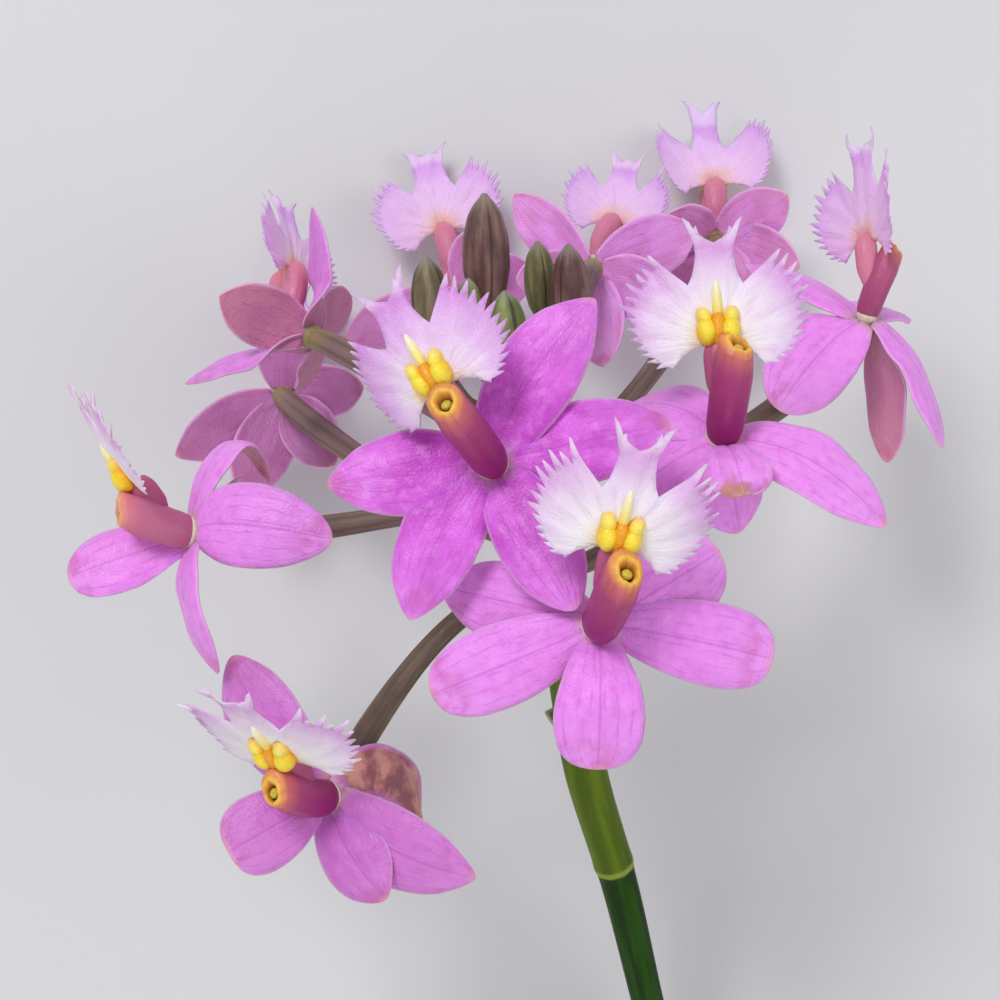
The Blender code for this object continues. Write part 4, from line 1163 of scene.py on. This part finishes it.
def lip_shader():
    """White to lilac lip with radiating veins and painted glints. Its throat is cream, and peach on a lilac
    back.
    """
    shader = Shader("lip", Roughness=0.5, Subsurface_Weight=0.15, Subsurface_Scale=0.0012, Sheen_Weight=0.15)
    (turn, reach, side), lay, (tone, _, lilac) = shader.stored()
    fan = shader.add("CombineXYZ", {0: turn * 26, 1: reach * 3, 2: tone * 20})
    veins = fan.noise(1, 3, 0.25)
    far = reach + (lay.noise(0.28, 3) - 0.5) * 0.45
    front = lilac.mix(far.ramp(LIP.white), far.ramp(LIP.lilac))
    back = lilac.between(0, LILAC_BACK).mix(LIP.plain_back, far.ramp(LIP.back))
    colour = side.mix(back, front)
    colour = (veins.between(0.53, 0.68) * 0.22).mix(colour, LIP.vein)
    colour = reach.between(0.96, 1.1, 0, 0.5).mix(colour, LIP.rim)
    # Painted glints: near-white specks where this fine noise is high, where the lip is also glossier.
    glint_noise = lay.noise(8)
    colour = (glint_noise.between(0.55, 0.75) * 0.4).mix(colour, LIP.sparkle)
    normal = lay.cells(4).relief(0.03)
    normal = veins.relief(0.16, normal)
    return shader.finish(colour, normal, glint_noise.between(0.3, 0.7, 0.6, 0.42))


def callus_shader():
    """Waxy yellow bulbs, orange in the folds between them. Each bulb is painted paler on top as highlight
    and deeper orange down its sides as shade.
    """
    shader = Shader("callus", Roughness=0.34, Subsurface_Weight=0.08, Subsurface_Scale=0.0008,
                    Coat_Weight=0.15)
    (_, along, height), lay, (_, keel, _) = shader.stored()
    mottle = lay.noise(0.9, 3)
    # Painted light: the bulb's colour follows its height, paler on top as highlight and deeper orange low on
    # its sides as shade.
    bulb = (height + (mottle - 0.5) * 0.5).ramp(CALLUS_TINTS.bulb)
    colour = keel.between(0, 1).mix(bulb, along.ramp(CALLUS_TINTS.ridge))
    colour = keel.between(0, -0.6, 0, 0.75).mix(colour, CALLUS_TINTS.fold)
    normal = lay.noise(3.5, 3).relief(0.12)
    return shader.finish(colour, normal, mottle.between(0.3, 0.7, 0.28, 0.44))


def column_shader():
    """Magenta at the foot, salmon to orange at the rim, an orange mouth that darkens to green-brown deep
    inside as painted shade, and a yellow cap.
    """
    shader = Shader("column", Roughness=0.42, Subsurface_Weight=0.2, Subsurface_Scale=0.0012,
                    Specular_IOR_Level=0.35)
    (_, along, _), lay, (_, pale, cap) = shader.stored()
    mottle = lay.noise(0.8, 3)
    streak = lay.stretched(2.2, 2.2, 0.25).noise()
    # The last part of this ramp is painted shade, darkening deep inside the mouth.
    colour = (along + (mottle - 0.5) * 0.05).ramp(COLUMN.length)
    colour = (streak.between(0.5, 0.7) * 0.22).mix(colour, COLUMN.streak)
    colour = (pale * 0.78).mix(colour, COLUMN.pale)
    capped = mottle.between(0.4, 0.6).mix(COLUMN.green_cap, COLUMN.yellow_cap)
    colour = cap.mix(colour, capped)
    normal = lay.cells(3.5).relief(0.03)
    normal = streak.relief(0.12, normal)
    return shader.finish(colour, normal, mottle.between(0.3, 0.7, 0.3, 0.44))


def pedicel_shader():
    """Grey-brown to olive stalk, darker in its grooves and greener at both ends."""
    shader = Shader("stalk", Roughness=0.46, Subsurface_Weight=0.06, Subsurface_Scale=0.001)
    (turn, along, _), lay, (light, _, _) = shader.stored()
    mottle = lay.stretched(0.7, 0.7, 0.16).noise(detail=4)
    colour = mottle.between(0.35, 0.68).mix(STALK.dark, STALK.light)
    colour = (light * 0.65).mix(colour, STALK.mauve)
    twisted = turn + along * (STALK_TWIST / (2 * math.pi))
    ribs = (twisted * (2 * math.pi * STALK_RIBS)).math("COSINE")
    colour = ribs.between(0.1, -1, 0, 0.5).mix(colour, STALK.groove)
    colour = (along.between(0.86, 1) * 0.6).mix(colour, STALK.ovary)
    colour = (along.between(0.2, 0) * 0.7).mix(colour, STALK.root)
    fine = lay.stretched(5, 5, 0.9).noise(detail=3)
    return shader.finish(colour, fine.relief(0.07), fine.between(0.3, 0.7, 0.4, 0.56))


def bud_shader():
    """Brown-mauve to olive bud with dark seams, streaks along it and a grey tip."""
    shader = Shader("bud", Roughness=0.46, Subsurface_Weight=0.06, Subsurface_Scale=0.001)
    (turn, along, _), lay, (_, green, _) = shader.stored()
    streak = lay.stretched(1.5, 1.5, 0.2).noise(detail=4).between(0.35, 0.68)
    brown = streak.mix(BUD.dark_brown, BUD.light_brown)
    leafy = streak.mix(BUD.dark_green, BUD.light_green)
    colour = green.mix(brown, leafy)
    seam = (turn * (2 * math.pi * BUD_SEAMS)).math("COSINE")
    colour = seam.between(0.86, 0.99, 0, 0.75).mix(colour, BUD.seam)
    colour = along.between(0.8, 1, 0, 0.6).mix(colour, BUD.tip)
    fine = lay.stretched(5, 5, 1.5).noise(detail=3)
    return shader.finish(colour, fine.relief(0.07), fine.between(0.3, 0.7, 0.38, 0.54))


def stem_shader():
    """Olive above the node, dark green below it, a pale ring at the node and a dry bract tip."""
    shader = Shader("stem", Roughness=0.5, Subsurface_Weight=0.06, Subsurface_Scale=0.001,
                    Specular_IOR_Level=0.14)
    (_, along, _), lay, (_, bract, _) = shader.stored()
    streak = lay.stretched(1, 1, 0.08).noise(detail=3)
    low = streak.between(0.35, 0.68).mix(STEM.dark_low, STEM.light_low)
    high = streak.between(0.3, 0.72).mix(STEM.dark_high, STEM.light_high)
    past = along - STEM_NODE
    colour = past.between(-0.004, 0.004).mix(low, high)
    colour = along.between(0.72, 0.9, 0, 0.8).mix(colour, STEM.top)
    colour = past.math("ABSOLUTE").between(NODE_WIDTH, 0.001, 0, 0.75).mix(colour, STEM.node)
    colour = bract.mix(colour, along.between(1.05, 1.4).mix(STEM.bract, STEM.bract_tip))
    fine = lay.stretched(5, 5, 0.5).noise(detail=3)
    return shader.finish(colour, fine.relief(0.08), fine.between(0.3, 0.7, 0.44, 0.58))


def make_floor():
    mesh = bpy.data.meshes.new("floor")
    corners = [(x * FLOOR_REACH, y * FLOOR_REACH, 0) for x, y in ((-1, -1), (1, -1), (1, 1), (-1, 1))]
    mesh.from_pydata(corners, [], [(0, 1, 2, 3)])
    mesh.materials.append(Shader("floor", Roughness=0.85, Base_Color=FLOOR_COLOUR).material)
    floor = bpy.data.objects.new("floor", mesh)
    bpy.context.scene.collection.objects.link(floor)


def make_lights():
    """A dim sky, and three round soft lights that aim at the middle of the head."""
    world = bpy.context.scene.world or bpy.data.worlds.new("studio")
    bpy.context.scene.world = world
    world.use_nodes = True
    sky = world.node_tree.nodes["Background"]
    sky.inputs["Color"].default_value = SKY_COLOUR
    sky.inputs["Strength"].default_value = SKY_STRENGTH
    aim = Vector(HEAD * MM)
    for name, off, size, power in LIGHTS:
        light = bpy.data.lights.new(name, "AREA")
        light.shape = "DISK"
        light.size = size
        light.energy = power
        lamp = bpy.data.objects.new(name, light)
        lamp.location = aim + Vector(off)
        lamp.rotation_mode = "QUATERNION"
        lamp.rotation_quaternion = (aim - lamp.location).to_track_quat("-Z", "Y")
        bpy.context.scene.collection.objects.link(lamp)


def make_camera():
    """Straight above the head, as the photograph sees it, with the head's top at the picture's top."""
    data = bpy.data.cameras.new("camera")
    data.sensor_width = SENSOR
    data.lens = SENSOR / 2 * CAMERA_HEIGHT / CAMERA_HALF_WIDTH
    data.clip_start = 0.01
    camera = bpy.data.objects.new("camera", data)
    camera.location = (HEAD + np.array((0, 0, CAMERA_HEIGHT))) * MM
    bpy.context.scene.collection.objects.link(camera)
    bpy.context.scene.camera = camera


def build():
    petal = tepal_shader()
    lip = lip_shader()
    callus = callus_shader()
    column = column_shader()
    stalk = pedicel_shader()
    bud_material = bud_shader()
    show_stem(stem_shader())
    for bud in BUDS:
        show_bud(bud, bud_material)
    for flower in FLOWERS:
        show_perianth(flower, petal)
        show_column(flower, column)
        show_claw(flower, column)
        show_lip(flower, lip, callus)
        show_pedicel(flower, stalk)


build()
make_floor()
make_lights()
make_camera()
bpy.context.scene.view_settings.view_transform = "Standard"

bpy.context.view_layer.update()
